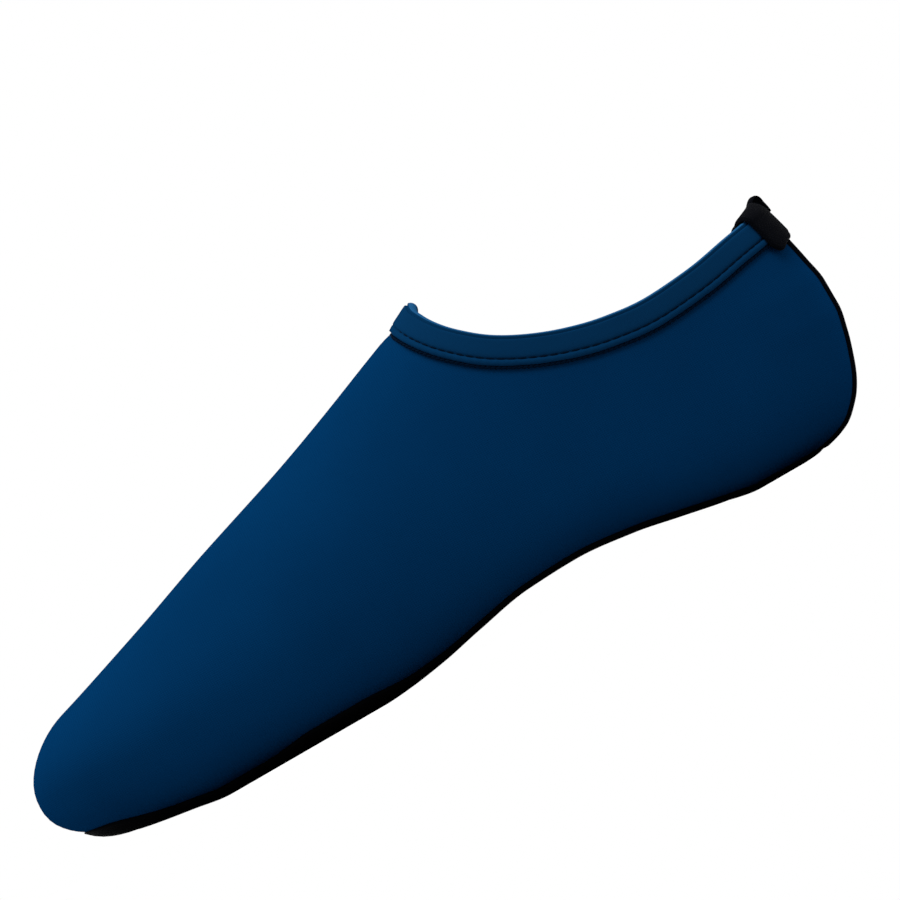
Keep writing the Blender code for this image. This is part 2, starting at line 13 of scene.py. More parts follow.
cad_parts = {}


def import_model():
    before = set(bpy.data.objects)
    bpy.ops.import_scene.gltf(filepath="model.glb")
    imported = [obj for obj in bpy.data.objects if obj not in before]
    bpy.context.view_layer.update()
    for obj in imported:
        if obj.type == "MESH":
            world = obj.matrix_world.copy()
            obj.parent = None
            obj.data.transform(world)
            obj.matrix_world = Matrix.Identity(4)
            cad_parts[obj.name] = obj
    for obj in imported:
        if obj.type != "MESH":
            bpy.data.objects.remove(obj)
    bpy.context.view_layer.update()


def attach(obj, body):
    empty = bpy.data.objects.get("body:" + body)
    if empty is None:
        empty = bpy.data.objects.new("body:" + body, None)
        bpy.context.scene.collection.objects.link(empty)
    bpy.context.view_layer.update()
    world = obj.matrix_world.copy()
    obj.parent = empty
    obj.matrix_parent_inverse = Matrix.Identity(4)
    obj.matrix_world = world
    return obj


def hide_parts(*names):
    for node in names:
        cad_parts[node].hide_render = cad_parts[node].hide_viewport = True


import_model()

# Sizes of the upper
UPPER_LENGTH = 0.249
BALL_WIDTH = 0.092
HEEL_WIDTH = 0.062
INSTEP_HEIGHT = 0.0872
TOE_HEIGHT = 0.0355
TOE_TIP_HEIGHT = 0.022
TOE_ROUNDING = 0.018
TOE_TURN = 0.007
TURN_START = 0.150
HEEL_ROUNDING = 0.034
HEEL_TUCK = 0.024
UPPER_WALL = 0.0016

# Sizes of the collar
COLLAR_REACH = 0.0998
COLLAR_BACK_HEIGHT = 0.062
COLLAR_LOW_HEIGHT = 0.0559
COLLAR_CROWN = 0.9
BINDING_WIDTH = 0.0070
BINDING_THICKNESS = 0.0008

# Sizes of the sole
ARCH_RISE = 0.0074
INNER_ARCH_RISE = 0.003
TOE_SPRING = 0.0077
SOLE_THICKNESS = 0.0022
INSOLE_THICKNESS = 0.0016
SOLE_EDGE_RISE = 0.0016
SOLE_EDGE_THICKNESS = 0.001
GROOVE_WIDTH = 0.0022
GROOVE_DEPTH = 0.0006
GROOVE_PITCH = 0.0075
GROOVE_LENGTH = 0.040
FOREFOOT_GROOVES = 7
HEEL_SPOT = 0.035
FOREFOOT_SPOT = 0.176

# Sizes of the heel tape and the heel tab
TAPE_WIDTH = 0.014
TAPE_THICKNESS = 0.0007
TAPE_BOTTOM_HEIGHT = 0.0017
TAB_WIDTH = 0.039
TAB_THICKNESS = 0.0009

# Clearance between pieces that touch, and under a band on the inside of a bend
CLEARANCE = 0.0003
INSIDE_CLEARANCE = 0.0005
INSOLE_CLEARANCE = 0.0007

# Roundness of the last's sections, as powers of a rounded box, and how far they narrow
# toward the sole
TOP_POWER = 1.9
BOTTOM_POWER = 5.5
TOE_BOTTOM_POWER = 3.8
TOE_POWER = 2.2
HEEL_POWER = 2.2
BOTTOM_TAPER = 0.10

# Layout of the meridians: where they start, how they lean and how they are evened
UNDER_SHARE = 0.62
LINE_SAMPLES = 300
LEAN_BACK = 1.6
PATH_STEPS = 200
HALVINGS = 24
EVEN_STEPS = 2
EVEN_SHARE = 0.012

# Interior line that the meridians are aimed from
SPINE_BACK = 0.045
TOE_PAST_SPINE = 0.036
SPINE_FRONT = UPPER_LENGTH - TOE_PAST_SPINE
COLLAR_SPINE_BACK = 0.035
COLLAR_SPINE_FRONT = 0.080
COLLAR_SPINE_HEIGHT = 0.045


# Sections of the last. Columns: share of the upper's length, outer edge, inner edge,
# crown of the section, height of its widest point.
SECTIONS = (
    (0.00, 0.495 * HEEL_WIDTH, 0.495 * HEEL_WIDTH, 1.19 * INSTEP_HEIGHT, 0.25 * INSTEP_HEIGHT),
    (0.14, 0.500 * HEEL_WIDTH, 0.500 * HEEL_WIDTH, 1.20 * INSTEP_HEIGHT, 0.25 * INSTEP_HEIGHT),
    (0.25, 0.520 * HEEL_WIDTH, 0.505 * HEEL_WIDTH, 1.16 * INSTEP_HEIGHT, 0.26 * INSTEP_HEIGHT),
    (0.33, 0.540 * HEEL_WIDTH, 0.510 * HEEL_WIDTH, 1.105 * INSTEP_HEIGHT, 0.27 * INSTEP_HEIGHT),
    (0.40, 0.375 * BALL_WIDTH, 0.352 * BALL_WIDTH, 1.00 * INSTEP_HEIGHT, 0.28 * INSTEP_HEIGHT),
    (0.47, 0.403 * BALL_WIDTH, 0.367 * BALL_WIDTH, 0.920 * INSTEP_HEIGHT, 0.28 * INSTEP_HEIGHT),
    (0.53, 0.440 * BALL_WIDTH, 0.392 * BALL_WIDTH, 0.852 * INSTEP_HEIGHT, 0.27 * INSTEP_HEIGHT),
    (0.60, 0.485 * BALL_WIDTH, 0.435 * BALL_WIDTH, 0.778 * INSTEP_HEIGHT, 0.26 * INSTEP_HEIGHT),
    (0.66, 0.505 * BALL_WIDTH, 0.473 * BALL_WIDTH, 0.722 * INSTEP_HEIGHT, 0.25 * INSTEP_HEIGHT),
    (0.72, 0.495 * BALL_WIDTH, 0.495 * BALL_WIDTH, 0.667 * INSTEP_HEIGHT, 0.24 * INSTEP_HEIGHT),
    (0.80, 0.440 * BALL_WIDTH, 0.485 * BALL_WIDTH, 1.44 * TOE_HEIGHT, 0.24 * INSTEP_HEIGHT),
    (0.86, 0.375 * BALL_WIDTH, 0.460 * BALL_WIDTH, 1.30 * TOE_HEIGHT, 0.95 * TOE_TIP_HEIGHT),
    (0.92, 0.285 * BALL_WIDTH, 0.415 * BALL_WIDTH, 1.165 * TOE_HEIGHT, TOE_TIP_HEIGHT),
    (0.96, 0.220 * BALL_WIDTH, 0.370 * BALL_WIDTH, 1.085 * TOE_HEIGHT, TOE_TIP_HEIGHT),
    (1.00, 0.150 * BALL_WIDTH, 0.310 * BALL_WIDTH, TOE_HEIGHT, TOE_TIP_HEIGHT),
)

# Back of the heel. Columns: share of the collar's height there, share of the heel's tuck.
HEEL_BACK = (
    (0.02, 1.00),
    (0.03, 0.87),
    (0.048, 0.71),
    (0.073, 0.575),
    (0.113, 0.458),
    (0.161, 0.35),
    (0.226, 0.254),
    (0.306, 0.175),
    (0.403, 0.100),
    (0.516, 0.046),
    (0.629, 0.046),
    (0.742, 0.096),
    (0.855, 0.158),
    (0.968, 0.233),
    (1.129, 0.375),
)

# Ground line of the sole. Columns: share of the length, share of the arch's rise, share
# of the toe's spring.
GROUND = (
    (0.00, 0.00, 0.00),
    (0.165, 0.00, 0.00),
    (0.21, 0.20, 0.00),
    (0.26, 0.50, 0.00),
    (0.31, 0.80, 0.00),
    (0.375, 1.00, 0.00),
    (0.435, 0.93, 0.00),
    (0.50, 0.58, 0.00),
    (0.55, 0.26, 0.00),
    (0.60, 0.05, 0.00),
    (0.63, 0.00, 0.00),
    (0.81, 0.00, 0.00),
    (0.855, 0.00, 0.20),
    (0.895, 0.00, 0.40),
    (0.935, 0.00, 0.64),
    (0.97, 0.00, 0.82),
    (1.00, 0.00, 1.00),
)

# Sole's thickness and how far its edge climbs the upper. Columns: share of the length,
# share of the sole's thickness, share of the edge's rise, share of the edge's thickness.
SOLE_EDGE = (
    (0.00, 0.42, 0.15, 0.60),
    (0.12, 0.42, 0.15, 0.60),
    (0.20, 0.50, 0.20, 0.75),
    (0.28, 0.55, 0.30, 0.85),
    (0.50, 0.55, 0.30, 0.85),
    (0.58, 0.75, 0.45, 1.00),
    (0.64, 1.00, 1.00, 1.00),
    (0.70, 1.00, 1.00, 1.00),
    (0.76, 1.00, 0.25, 1.00),
    (0.86, 1.00, 0.25, 1.00),
    (0.90, 1.00, 0.60, 0.95),
    (0.94, 0.90, 1.20, 0.75),
    (0.97, 0.85, 1.25, 0.45),
    (1.00, 0.80, 1.25, 0.35),
)

# Collar line seen from the side. Columns: share of the collar's reach, share of the way
# from its low point up to the instep's height.
COLLAR_LINE = (
    (0.055, 0.195),
    (0.110, 0.155),
    (0.190, 0.105),
    (0.310, 0.032),
    (0.450, 0.000),
    (0.570, 0.042),
    (0.680, 0.132),
    (0.780, 0.262),
    (0.855, 0.400),
    (0.908, 0.540),
    (0.950, 0.680),
    (0.980, 0.820),
    (0.996, 0.930),
)


def column(table, number):
    return np.array([row[number] for row in table])


def smooth(table, number, at):
    """A column of a table between its rows, as a curve without overshoot."""
    x = column(table, 0)
    y = column(table, number)
    step = np.diff(x)
    slope = np.diff(y) / step
    tangent = np.zeros(len(x))
    same_way = slope[:-1] * slope[1:] > 0
    both = np.where(same_way, slope[:-1] + slope[1:], 1)
    tangent[1:-1] = np.where(same_way, 2 * slope[:-1] * slope[1:] / both, 0)
    tangent[0] = slope[0]
    tangent[-1] = slope[-1]
    at = np.clip(at, x[0], x[-1])
    k = np.clip(np.searchsorted(x, at) - 1, 0, len(x) - 2)
    t = (at - x[k]) / step[k]
    rise = y[k + 1] - y[k]
    c = 3 * rise - (2 * tangent[k] + tangent[k + 1]) * step[k]
    d = (tangent[k] + tangent[k + 1]) * step[k] - 2 * rise
    return y[k] + t * (tangent[k] * step[k] + t * (c + t * d))


def ground(along, across):
    """Height of the sole's underside: heel spot, arch, forefoot spot and toe spring."""
    share = along / UPPER_LENGTH
    arch = smooth(GROUND, 1, share)
    inward = np.clip(0.5 + across / HEEL_WIDTH, 0, 1)
    spring = smooth(GROUND, 2, share)
    return arch * (ARCH_RISE + inward * INNER_ARCH_RISE) + spring * TOE_SPRING


def sole_thickness(along):
    return smooth(SOLE_EDGE, 1, along / UPPER_LENGTH) * SOLE_THICKNESS


def edge_thickness(along):
    return smooth(SOLE_EDGE, 3, along / UPPER_LENGTH) * SOLE_EDGE_THICKNESS


def underside(along, across):
    """Height of the upper's underside, which lies on the sole."""
    return ground(along, across) + sole_thickness(along) + CLEARANCE


def edge_height(along, across):
    """Height of the sole's top edge on the side of the upper."""
    rise = smooth(SOLE_EDGE, 2, along / UPPER_LENGTH) * SOLE_EDGE_RISE
    return underside(along, across) + rise


def eased(t):
    """From 0 to 1, level at both ends."""
    t = np.clip(t, 0, 1)
    return t * t * (3 - 2 * t)


def axis(along):
    """Middle line of the last, which turns toward the big toe."""
    return TOE_TURN * eased((along - TURN_START) / (UPPER_LENGTH - TURN_START))


def section_size(number, along):
    """A column of the sections, evened over a few millimetres either way."""
    total = 0
    for step in range(-EVEN_STEPS, EVEN_STEPS + 1):
        weight = (EVEN_STEPS + 1 - abs(step)) / (EVEN_STEPS + 1) ** 2
        total = total + weight * smooth(SECTIONS, number, along / UPPER_LENGTH + step * EVEN_SHARE)
    return total


def heel_centre(height):
    """How far the back of the heel is set in at a height."""
    return smooth(HEEL_BACK, 1, height / COLLAR_BACK_HEIGHT) * HEEL_TUCK


def last_form(along, across, height):
    """Below 0 inside the last, 0 on its surface and above 0 outside it."""
    middle = axis(along)
    outer = section_size(1, along) + middle
    inner = section_size(2, along) - middle
    edge = np.where(across < middle, outer, inner)
    widest = section_size(4, along)
    above = height > widest
    room = np.where(above, section_size(3, along) - widest, widest - underside(along, across))
    level = np.abs(height - widest) / room
    set_in = heel_centre(height)
    from_back = np.clip((along - set_in) / HEEL_ROUNDING, 0, 1)
    heel = (1 - (1 - from_back) ** HEEL_POWER) ** (1 / HEEL_POWER)
    taper = np.where(above, 1, 1 - BOTTOM_TAPER * level**2)
    half = np.maximum(edge * heel * taper, 1e-6)
    aside = np.abs(across - middle) / half
    toward_toe = eased((along - FOREFOOT_SPOT) / (UPPER_LENGTH - FOREFOOT_SPOT))
    bottom_power = BOTTOM_POWER + (TOE_BOTTOM_POWER - BOTTOM_POWER) * toward_toe
    power = np.where(above, TOP_POWER, bottom_power)
    section = (np.minimum(aside, 50) ** power + np.minimum(level, 50) ** power) ** (1 / power)
    toe = np.clip((along - (UPPER_LENGTH - TOE_ROUNDING)) / TOE_ROUNDING, 0, 50)
    form = section**TOE_POWER + toe**TOE_POWER - 1
    return np.where(along > set_in, form, 1)


def outward_hit(start, direction):
    """Where rays from inside the last leave it."""
    near = np.zeros(start.shape[:-1])
    far = np.full(start.shape[:-1], UPPER_LENGTH)
    for _ in range(HALVINGS):
        mid = (near + far) / 2
        point = start + direction * mid[..., None]
        inside = last_form(point[..., 0], point[..., 1], point[..., 2]) < 0
        near = np.where(inside, mid, near)
        far = np.where(inside, far, mid)
    return start + direction * ((near + far) / 2)[..., None]


def unit(vectors):
    """Vectors made one unit long."""
    return vectors / np.maximum(np.linalg.norm(vectors, axis=-1, keepdims=True), 1e-12)


def read_at(spots, run, values):
    """Each column of a line's numbers, read at other lengths along it."""
    return np.stack([np.interp(spots, run, part) for part in values.T], axis=1)


def at_shares(points, shares):
    """Points at shares of the length of a line."""
    run = np.concatenate([[0], np.cumsum(np.linalg.norm(np.diff(points, axis=0), axis=1))])
    return read_at(shares * run[-1], run, points)


def spine_point(along):
    """Points of the line inside the last that the widest outline is aimed from."""
    along = np.clip(along, SPINE_BACK, SPINE_FRONT)
    return np.stack([along, axis(along), section_size(4, along)], axis=-1)


def plan_line(side, count):
    """Points of the widest outline, from the back of the heel to the tip of the toe."""
    t = np.linspace(0, math.pi, LINE_SAMPLES)
    along = UPPER_LENGTH * (0.5 - 0.5 * np.cos(t))
    start = spine_point(along)
    back = along < SPINE_BACK
    front = along > SPINE_FRONT
    past_front = (along - SPINE_FRONT) / (UPPER_LENGTH - SPINE_FRONT)
    turn = np.where(back, 1 - along / SPINE_BACK, past_front)
    turn = np.where(back | front, turn, 0) * math.pi / 2
    forward = np.where(back, -1.0, 1.0) * np.sin(turn)
    aim = np.stack([forward, side * np.cos(turn), 0 * along], axis=-1)
    return at_shares(outward_hit(start, aim), np.linspace(0, 1, count))


def collar_line(side, shares):
    """Points of the collar's edge, from the centre back to the centre front.

    The last tenth crosses the instep's crown, so it is laid on the last once more.
    """
    way = column(COLLAR_LINE, 1)
    t = np.linspace(0, 1, len(way))
    fine = np.linspace(0, 1, LINE_SAMPLES)
    table = np.stack([t, column(COLLAR_LINE, 0), way], axis=1)
    along = COLLAR_REACH * smooth(table, 1, fine)
    front_start = np.array([[COLLAR_REACH, 0.0, COLLAR_LOW_HEIGHT]])
    front = outward_hit(front_start, np.array([0.0, 0.0, 1.0]))
    height = COLLAR_LOW_HEIGHT + (front[0, 2] - COLLAR_LOW_HEIGHT) * smooth(table, 2, fine)
    start = np.stack([along, axis(along), height], axis=-1)
    points = outward_hit(start, np.array([0.0, side, 0.0]))
    back_height = np.full(1, COLLAR_BACK_HEIGHT)
    back = np.array([[heel_centre(back_height)[0], 0, COLLAR_BACK_HEIGHT]])
    line = at_shares(np.concatenate([back, points, front]), shares)
    under = np.stack([line[:, 0], axis(line[:, 0]), 0 * line[:, 0] + COLLAR_LOW_HEIGHT], axis=-1)
    on_last = outward_hit(under, unit(line - under))
    return np.where(line[:, :1] > COLLAR_CROWN * COLLAR_REACH, on_last, line)


def meridian_paths(count):
    """Lines on the last from under the foot, round its edge and up to the collar."""
    half = count // 2
    share = np.linspace(0, 1, half + 1)
    collar_share = LEAN_BACK * share - (LEAN_BACK - 1) * share**2
    low = []
    high = []
    for side in (-1.0, 1.0):
        plan = plan_line(side, half + 1)
        centre = spine_point(plan[:, 0])
        reach = plan - centre
        reach[:, 2] = 0
        near = np.zeros(half + 1)
        far = np.ones(half + 1)
        for _ in range(HALVINGS):
            mid = (near + far) / 2
            spot = centre + reach * mid[:, None]
            level = underside(spot[:, 0], spot[:, 1]) + SOLE_EDGE_THICKNESS
            inside = last_form(spot[:, 0], spot[:, 1], level) < 0
            near = np.where(inside, mid, near)
            far = np.where(inside, far, mid)
        spot = centre + reach * (UNDER_SHARE * near)[:, None]
        spot = np.stack([spot[:, 0], spot[:, 1], centre[:, 2]], axis=-1)
        low.append(outward_hit(spot, np.array([0.0, 0.0, -1.0])))
        high.append(collar_line(side, collar_share))
    low = np.concatenate([low[0], low[1][-2:0:-1]])
    high = np.concatenate([high[0], high[1][-2:0:-1]])
    low_from = spine_point(low[:, 0])
    high_along = np.clip(high[:, 0], COLLAR_SPINE_BACK, COLLAR_SPINE_FRONT)
    high_level = np.full(len(high), COLLAR_SPINE_HEIGHT)
    high_from = np.stack([high_along, axis(high_along), high_level], axis=-1)
    t = np.linspace(0, 1, PATH_STEPS)[None, :, None]
    move = eased(t)
    start = low_from[:, None] * (1 - move) + high_from[:, None] * move
    low_aim = unit(low - low_from)[:, None]
    high_aim = unit(high - high_from)[:, None]
    turn = np.arccos(np.clip((low_aim * high_aim).sum(axis=-1, keepdims=True), -1, 1))
    aim = (np.sin((1 - t) * turn) * low_aim + np.sin(t * turn) * high_aim) / np.sin(turn)
    paths = outward_hit(start, unit(aim))
    paths[:, 0] = low
    paths[:, -1] = high
    return paths


def grid_normals(grid, closed=True):
    """Outward normals of a grid whose columns run round the shoe and whose rows run up."""
    if closed:
        round_way = np.roll(grid, -1, axis=0) - np.roll(grid, 1, axis=0)
    else:
        round_way = np.gradient(grid, axis=0)
    up_way = np.gradient(grid, axis=1)
    return unit(np.cross(round_way, up_way))


def world(points):
    """Turns (along, across, height) into X, Y and Z."""
    return np.stack([HEEL_SPOT - points[..., 0], points[..., 1], points[..., 2]], axis=-1)


# Finer meshes for the dressed shoe
FINE_MERIDIANS = 312
FINE_UNDER_ROWS = 6
FINE_WALL_ROWS = 84
CUFF_ROWS = 10
ROWS_UNDER_CUFF = 23
EDGE_SAMPLES = 1200
BAND_COLUMNS = 960
SOLE_COLUMNS = 600
SOLE_STRIPS = 36
SOCK_STRIPS = 30


def fine_rows(path):
    """Points on one meridian: under the foot, up the wall, and under the collar's band."""
    step = np.linalg.norm(np.diff(path, axis=0), axis=1)
    run = np.concatenate([[0], np.cumsum(step)])
    over = path[:, 2] - edge_height(path[:, 0], path[:, 1])
    first = int(np.argmax(over > 0))
    part = -over[first - 1] / (over[first] - over[first - 1])
    seam = run[first - 1] + part * (run[first] - run[first - 1])
    cuff = run[-1] - BINDING_WIDTH
    spots = np.concatenate([
        np.linspace(0, seam, FINE_UNDER_ROWS + 1),
        np.linspace(seam, cuff, FINE_WALL_ROWS + 1)[1:],
        np.linspace(cuff, run[-1], CUFF_ROWS + 1)[1:],
    ])
    return read_at(spots, run, path)


def round_smooth(values, passes):
    """Evens a table of numbers round the closed loop of columns."""
    for _ in range(passes):
        values = (np.roll(values, 1, axis=0) + 2 * values + np.roll(values, -1, axis=0)) / 4
    return values


def loop_resample(values, count):
    """Closed columns of numbers, read again at another count of columns."""
    have = len(values)
    at = np.arange(count) * have / count
    k = at.astype(int)
    t = (at - k).reshape((-1,) + (1,) * (values.ndim - 1))
    before = values[(k - 1) % have]
    here = values[k % have]
    after = values[(k + 1) % have]
    beyond = values[(k + 2) % have]
    lead = here * 2
    lead = lead + (after - before) * t
    lead = lead + (2 * before - 5 * here + 4 * after - beyond) * t**2
    lead = lead + (3 * here - before - 3 * after + beyond) * t**3
    return lead / 2


def bump_at(distance, width):
    """A soft bump of 1 at no distance, which fades over a width."""
    return np.exp(-((distance / width) ** 2))


def between(angle, out, up):
    """A direction turned by an angle from the outward way toward the upward way."""
    return math.cos(angle) * out + math.sin(angle) * up


def rounded(share):
    """A quarter circle's rise, from 0 at its edge to 1."""
    return np.sqrt(1 - (1 - share) ** 2)


def quads(columns, rows, closed_round, closed_up=False, shift=0):
    """Faces of a grid numbered column by column."""
    i = np.arange(columns if closed_round else columns - 1)
    k = np.arange(rows if closed_up else rows - 1)
    i, k = np.meshgrid(i, k, indexing="ij")
    a = i * rows
    b = (i + 1) % columns * rows
    up = (k + 1) % rows
    return shift + np.stack([a + k, b + k, b + up, a + up], axis=-1).reshape(-1, 4)


def piece(name, points, faces, paints, which=None, crease=60):
    """A smooth mesh. X runs against along, so each face is turned round."""
    mesh = bpy.data.meshes.new(name)
    spots = world(points.reshape(-1, 3))
    turned = [tuple(dict.fromkeys(face[::-1])) for face in faces.tolist()]
    mesh.from_pydata(spots.tolist(), [], turned)
    for paint in paints:
        mesh.materials.append(paint)
    if which is not None:
        mesh.polygons.foreach_set("material_index", np.asarray(which, dtype=np.int32))
    mesh.polygons.foreach_set("use_smooth", np.ones(len(mesh.polygons), dtype=bool))
    mesh.update()
    mesh.set_sharp_from_angle(angle=math.radians(crease))
    thing = bpy.data.objects.new(name, mesh)
    bpy.context.scene.collection.objects.link(thing)
    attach(thing, "root")
    return thing


# Materials: patterns in the object's own coordinates, in metres
SHEEN_ROUGHNESS = 0.4


class Web:
    """Short calls that add nodes to one material."""

    def __init__(self, name):
        made = bpy.data.materials.new(name)
        made.use_nodes = True
        self.made = made
        self.tree = made.node_tree
        self.shader = self.tree.nodes["Principled BSDF"]
        self.place = self.tree.nodes.new("ShaderNodeTexCoord").outputs["Object"]

    def put(self, socket, value):
        if isinstance(value, bpy.types.NodeSocket):
            self.tree.links.new(value, socket)
        else:
            socket.default_value = value

    def calc(self, kind, a, b=0.0, c=0.0):
        node = self.tree.nodes.new("ShaderNodeMath")
        node.operation = kind
        for socket, value in zip(node.inputs, (a, b, c)):
            self.put(socket, value)
        return node.outputs[0]

    def add(self, a, b):
        return self.calc("ADD", a, b)

    def times(self, a, b):
        return self.calc("MULTIPLY", a, b)

    def split(self, vector):
        node = self.tree.nodes.new("ShaderNodeSeparateXYZ")
        self.put(node.inputs[0], vector)
        return node.outputs

    def facing(self):
        node = self.tree.nodes.new("ShaderNodeNewGeometry")
        return self.split(node.outputs["Normal"])

    def noise(self, scale, detail, rough):
        node = self.tree.nodes.new("ShaderNodeTexNoise")
        self.put(node.inputs["Vector"], self.place)
        node.inputs["Scale"].default_value = scale
        node.inputs["Detail"].default_value = detail
        node.inputs["Roughness"].default_value = rough
        return node.outputs[0]

    def cells(self, scale):
        node = self.tree.nodes.new("ShaderNodeTexVoronoi")
        node.feature = "SMOOTH_F1"
        self.put(node.inputs["Vector"], self.place)
        node.inputs["Scale"].default_value = scale
        return node.outputs["Distance"]

    def spread(self, value, low, high, out_low, out_high):
        node = self.tree.nodes.new("ShaderNodeMapRange")
        for socket, number in zip(node.inputs, (value, low, high, out_low, out_high)):
            self.put(socket, number)
        return node.outputs[0]

    def mix(self, share, first, second):
        node = self.tree.nodes.new("ShaderNodeMix")
        node.data_type = "RGBA"
        self.put(node.inputs[0], share)
        node.inputs[6].default_value = (*first, 1)
        node.inputs[7].default_value = (*second, 1)
        return node.outputs[2]

    def relief(self, height, depth, strength):
        node = self.tree.nodes.new("ShaderNodeBump")
        node.inputs["Strength"].default_value = strength
        node.inputs["Distance"].default_value = depth
        self.put(node.inputs["Height"], height)
        return node.outputs[0]

    def finish(self, colour, roughness, normal, specular, sheen=0.0, sheen_colour=(1, 1, 1)):
        shader = self.shader
        self.put(shader.inputs["Base Color"], colour)
        self.put(shader.inputs["Roughness"], roughness)
        self.put(shader.inputs["Normal"], normal)
        shader.inputs["Specular IOR Level"].default_value = specular
        shader.inputs["Sheen Weight"].default_value = sheen
        shader.inputs["Sheen Tint"].default_value = (*sheen_colour, 1)
        shader.inputs["Sheen Roughness"].default_value = SHEEN_ROUGHNESS
        return self.made


def on_three_sides(web, pattern):
    """A flat pattern laid on from the side, from above and from the end, as a face looks."""
    x, y, z = web.split(web.place)
    nx, ny, nz = web.facing()
    weights = []
    for part in (ny, nz, nx):
        weights.append(web.calc("POWER", web.calc("ABSOLUTE", part), 5.0))
    total = web.add(web.add(weights[0], weights[1]), weights[2])
    height = 0.0
    for weight, (u, v) in zip(weights, ((x, z), (x, y), (y, z))):
        height = web.add(height, web.times(pattern(web, u, v), web.calc("DIVIDE", weight, total)))
    return height


def knit(wale, course):
    """Columns of small V stitches, wale wide and course high, from 0 between to 1 on top."""

    def pattern(web, u, v):
        along = web.calc("FRACT", web.times(u, 1 / wale))
        side = web.times(web.calc("ABSOLUTE", web.add(along, -0.5)), 2.0)
        slant = web.add(web.times(v, 1 / course), web.times(side, 0.55))
        strand = web.calc("SINE", web.times(web.calc("FRACT", slant), math.pi))
        column_form = web.calc("SUBTRACT", 1.0, web.calc("POWER", side, 6.0))
        middle = web.spread(side, 0.0, 0.22, 0.72, 1.0)
        return web.times(web.times(web.calc("POWER", strand, 0.6), column_form), middle)

    return pattern


def plain_weave(pitch):
    """Threads that pass over and under one another, pitch apart."""

    def pattern(web, u, v):
        a = web.calc("SINE", web.times(u, math.pi / pitch))
        b = web.calc("SINE", web.times(v, math.pi / pitch))
        crossing = web.times(a, b)
        over = web.calc("ABSOLUTE", crossing)
        thread = web.add(web.times(crossing, 0.35), 0.5)
        return web.times(web.calc("POWER", over, 0.35), thread)

    return pattern


def fabric(name, colours, gauge, roughness, sheen):
    """A knit. Its gauge is the width of a wale, the height of a course and its depth."""
    colour, dark, sheen_colour = colours
    wale, course, depth = gauge
    web = Web(name)
    loops = on_three_sides(web, knit(wale, course))
    cloudy = web.noise(28.0, 3.0, 0.55)
    fuzz = web.noise(5200.0, 2.0, 0.6)
    tone = web.add(web.times(loops, 0.55), web.times(fuzz, 0.45))
    tone = web.spread(tone, 0.1, 0.85, 0.0, 1.0)
    tone = web.add(web.times(tone, 0.75), web.spread(cloudy, 0.3, 0.7, 0.0, 0.25))
    paint = web.mix(tone, dark, colour)
    height = web.add(loops, web.times(fuzz, 0.35))
    rough = web.spread(fuzz, 0.3, 0.7, roughness - 0.06, roughness + 0.06)
    return web.finish(paint, rough, web.relief(height, depth, 0.7), 0.0, sheen, sheen_colour)


def webbing(name, colours, pitch, depth):
    """A plain weave, or at a small pitch a twisted thread."""
    colour, dark = colours
    web = Web(name)
    threads = on_three_sides(web, plain_weave(pitch))
    fuzz = web.noise(4200.0, 2.0, 0.6)
    tone = web.spread(web.add(web.times(threads, 0.7), web.times(fuzz, 0.4)), 0.15, 0.8, 0.0, 1.0)
    paint = web.mix(tone, dark, colour)
    height = web.add(threads, web.times(fuzz, 0.3))
    return web.finish(paint, 0.85, web.relief(height, depth, 0.8), 0.01)


def rubber(name, colour, dust):
    """Matt moulded rubber with fine pebbles and a little dust."""
    web = Web(name)
    pebbles = web.cells(1500.0)
    cloudy = web.noise(60.0, 4.0, 0.6)
    speck = web.noise(1800.0, 3.0, 0.6)
    patches = web.spread(cloudy, 0.45, 0.75, 0.0, 0.5)
    share = web.times(patches, web.spread(speck, 0.4, 0.7, 0.2, 1.0))
    paint = web.mix(share, colour, dust)
    rough = web.spread(cloudy, 0.3, 0.7, 0.65, 0.8)
    height = web.add(pebbles, web.times(speck, 0.3))
    return web.finish(paint, rough, web.relief(height, 0.00012, 0.6), 0.008)


# Colours: of the raised threads, of the shade between them, and of a knit's sheen
FACE = ((0.0004, 0.0180, 0.0600), (0.0003, 0.0117, 0.0400), (0.0, 0.25, 0.90))
BAND = ((0.0012, 0.0180, 0.0535), (0.0008, 0.0117, 0.0350), (0.02, 0.25, 0.80))
# Paler blue for the crown of the band's fold: a painted highlight along the collar's top edge
CROWN_HIGHLIGHT = ((0.0085, 0.0560, 0.1350), (0.0060, 0.0380, 0.0940), (0.05, 0.30, 0.80))
LINING = ((0.003, 0.022, 0.060), (0.002, 0.013, 0.036), (0.2, 0.4, 0.8))
SOCK = ((0.004, 0.018, 0.045), (0.002, 0.010, 0.026), (0.2, 0.4, 0.8))
WEBBING = ((0.0016, 0.0020, 0.0034), (0.0004, 0.0005, 0.0010))
THREAD = ((0.0005, 0.0050, 0.0150), (0.0002, 0.0018, 0.0060))
RUBBER = (0.0007, 0.0009, 0.0014)
RUBBER_DUST = (0.0026, 0.0029, 0.0034)

# Gauges of the knits: wale, course and depth
FACE_GAUGE = (0.00062, 0.00050, 0.00009)
BAND_GAUGE = (0.00046, 0.00040, 0.00008)
LINING_GAUGE = (0.00090, 0.00080, 0.00015)
SOCK_GAUGE = (0.00120, 0.00110, 0.00020)

navy_knit = fabric("navy_knit", FACE, FACE_GAUGE, roughness=0.72, sheen=0.04)
band_knit = fabric("band_knit", BAND, BAND_GAUGE, roughness=0.75, sheen=0.05)
fold_highlight_knit = fabric("fold_highlight_knit", CROWN_HIGHLIGHT, BAND_GAUGE, roughness=0.75, sheen=0.08)
lining_knit = fabric("lining_knit", LINING, LINING_GAUGE, roughness=0.85, sheen=0.10)
sock_knit = fabric("sock_knit", SOCK, SOCK_GAUGE, roughness=0.85, sheen=0.10)
black_webbing = webbing("black_webbing", WEBBING, pitch=0.00055, depth=0.00014)
thread = webbing("dark_thread", THREAD, pitch=0.00022, depth=0.00005)
black_rubber = rubber("black_rubber_sole", RUBBER, RUBBER_DUST)


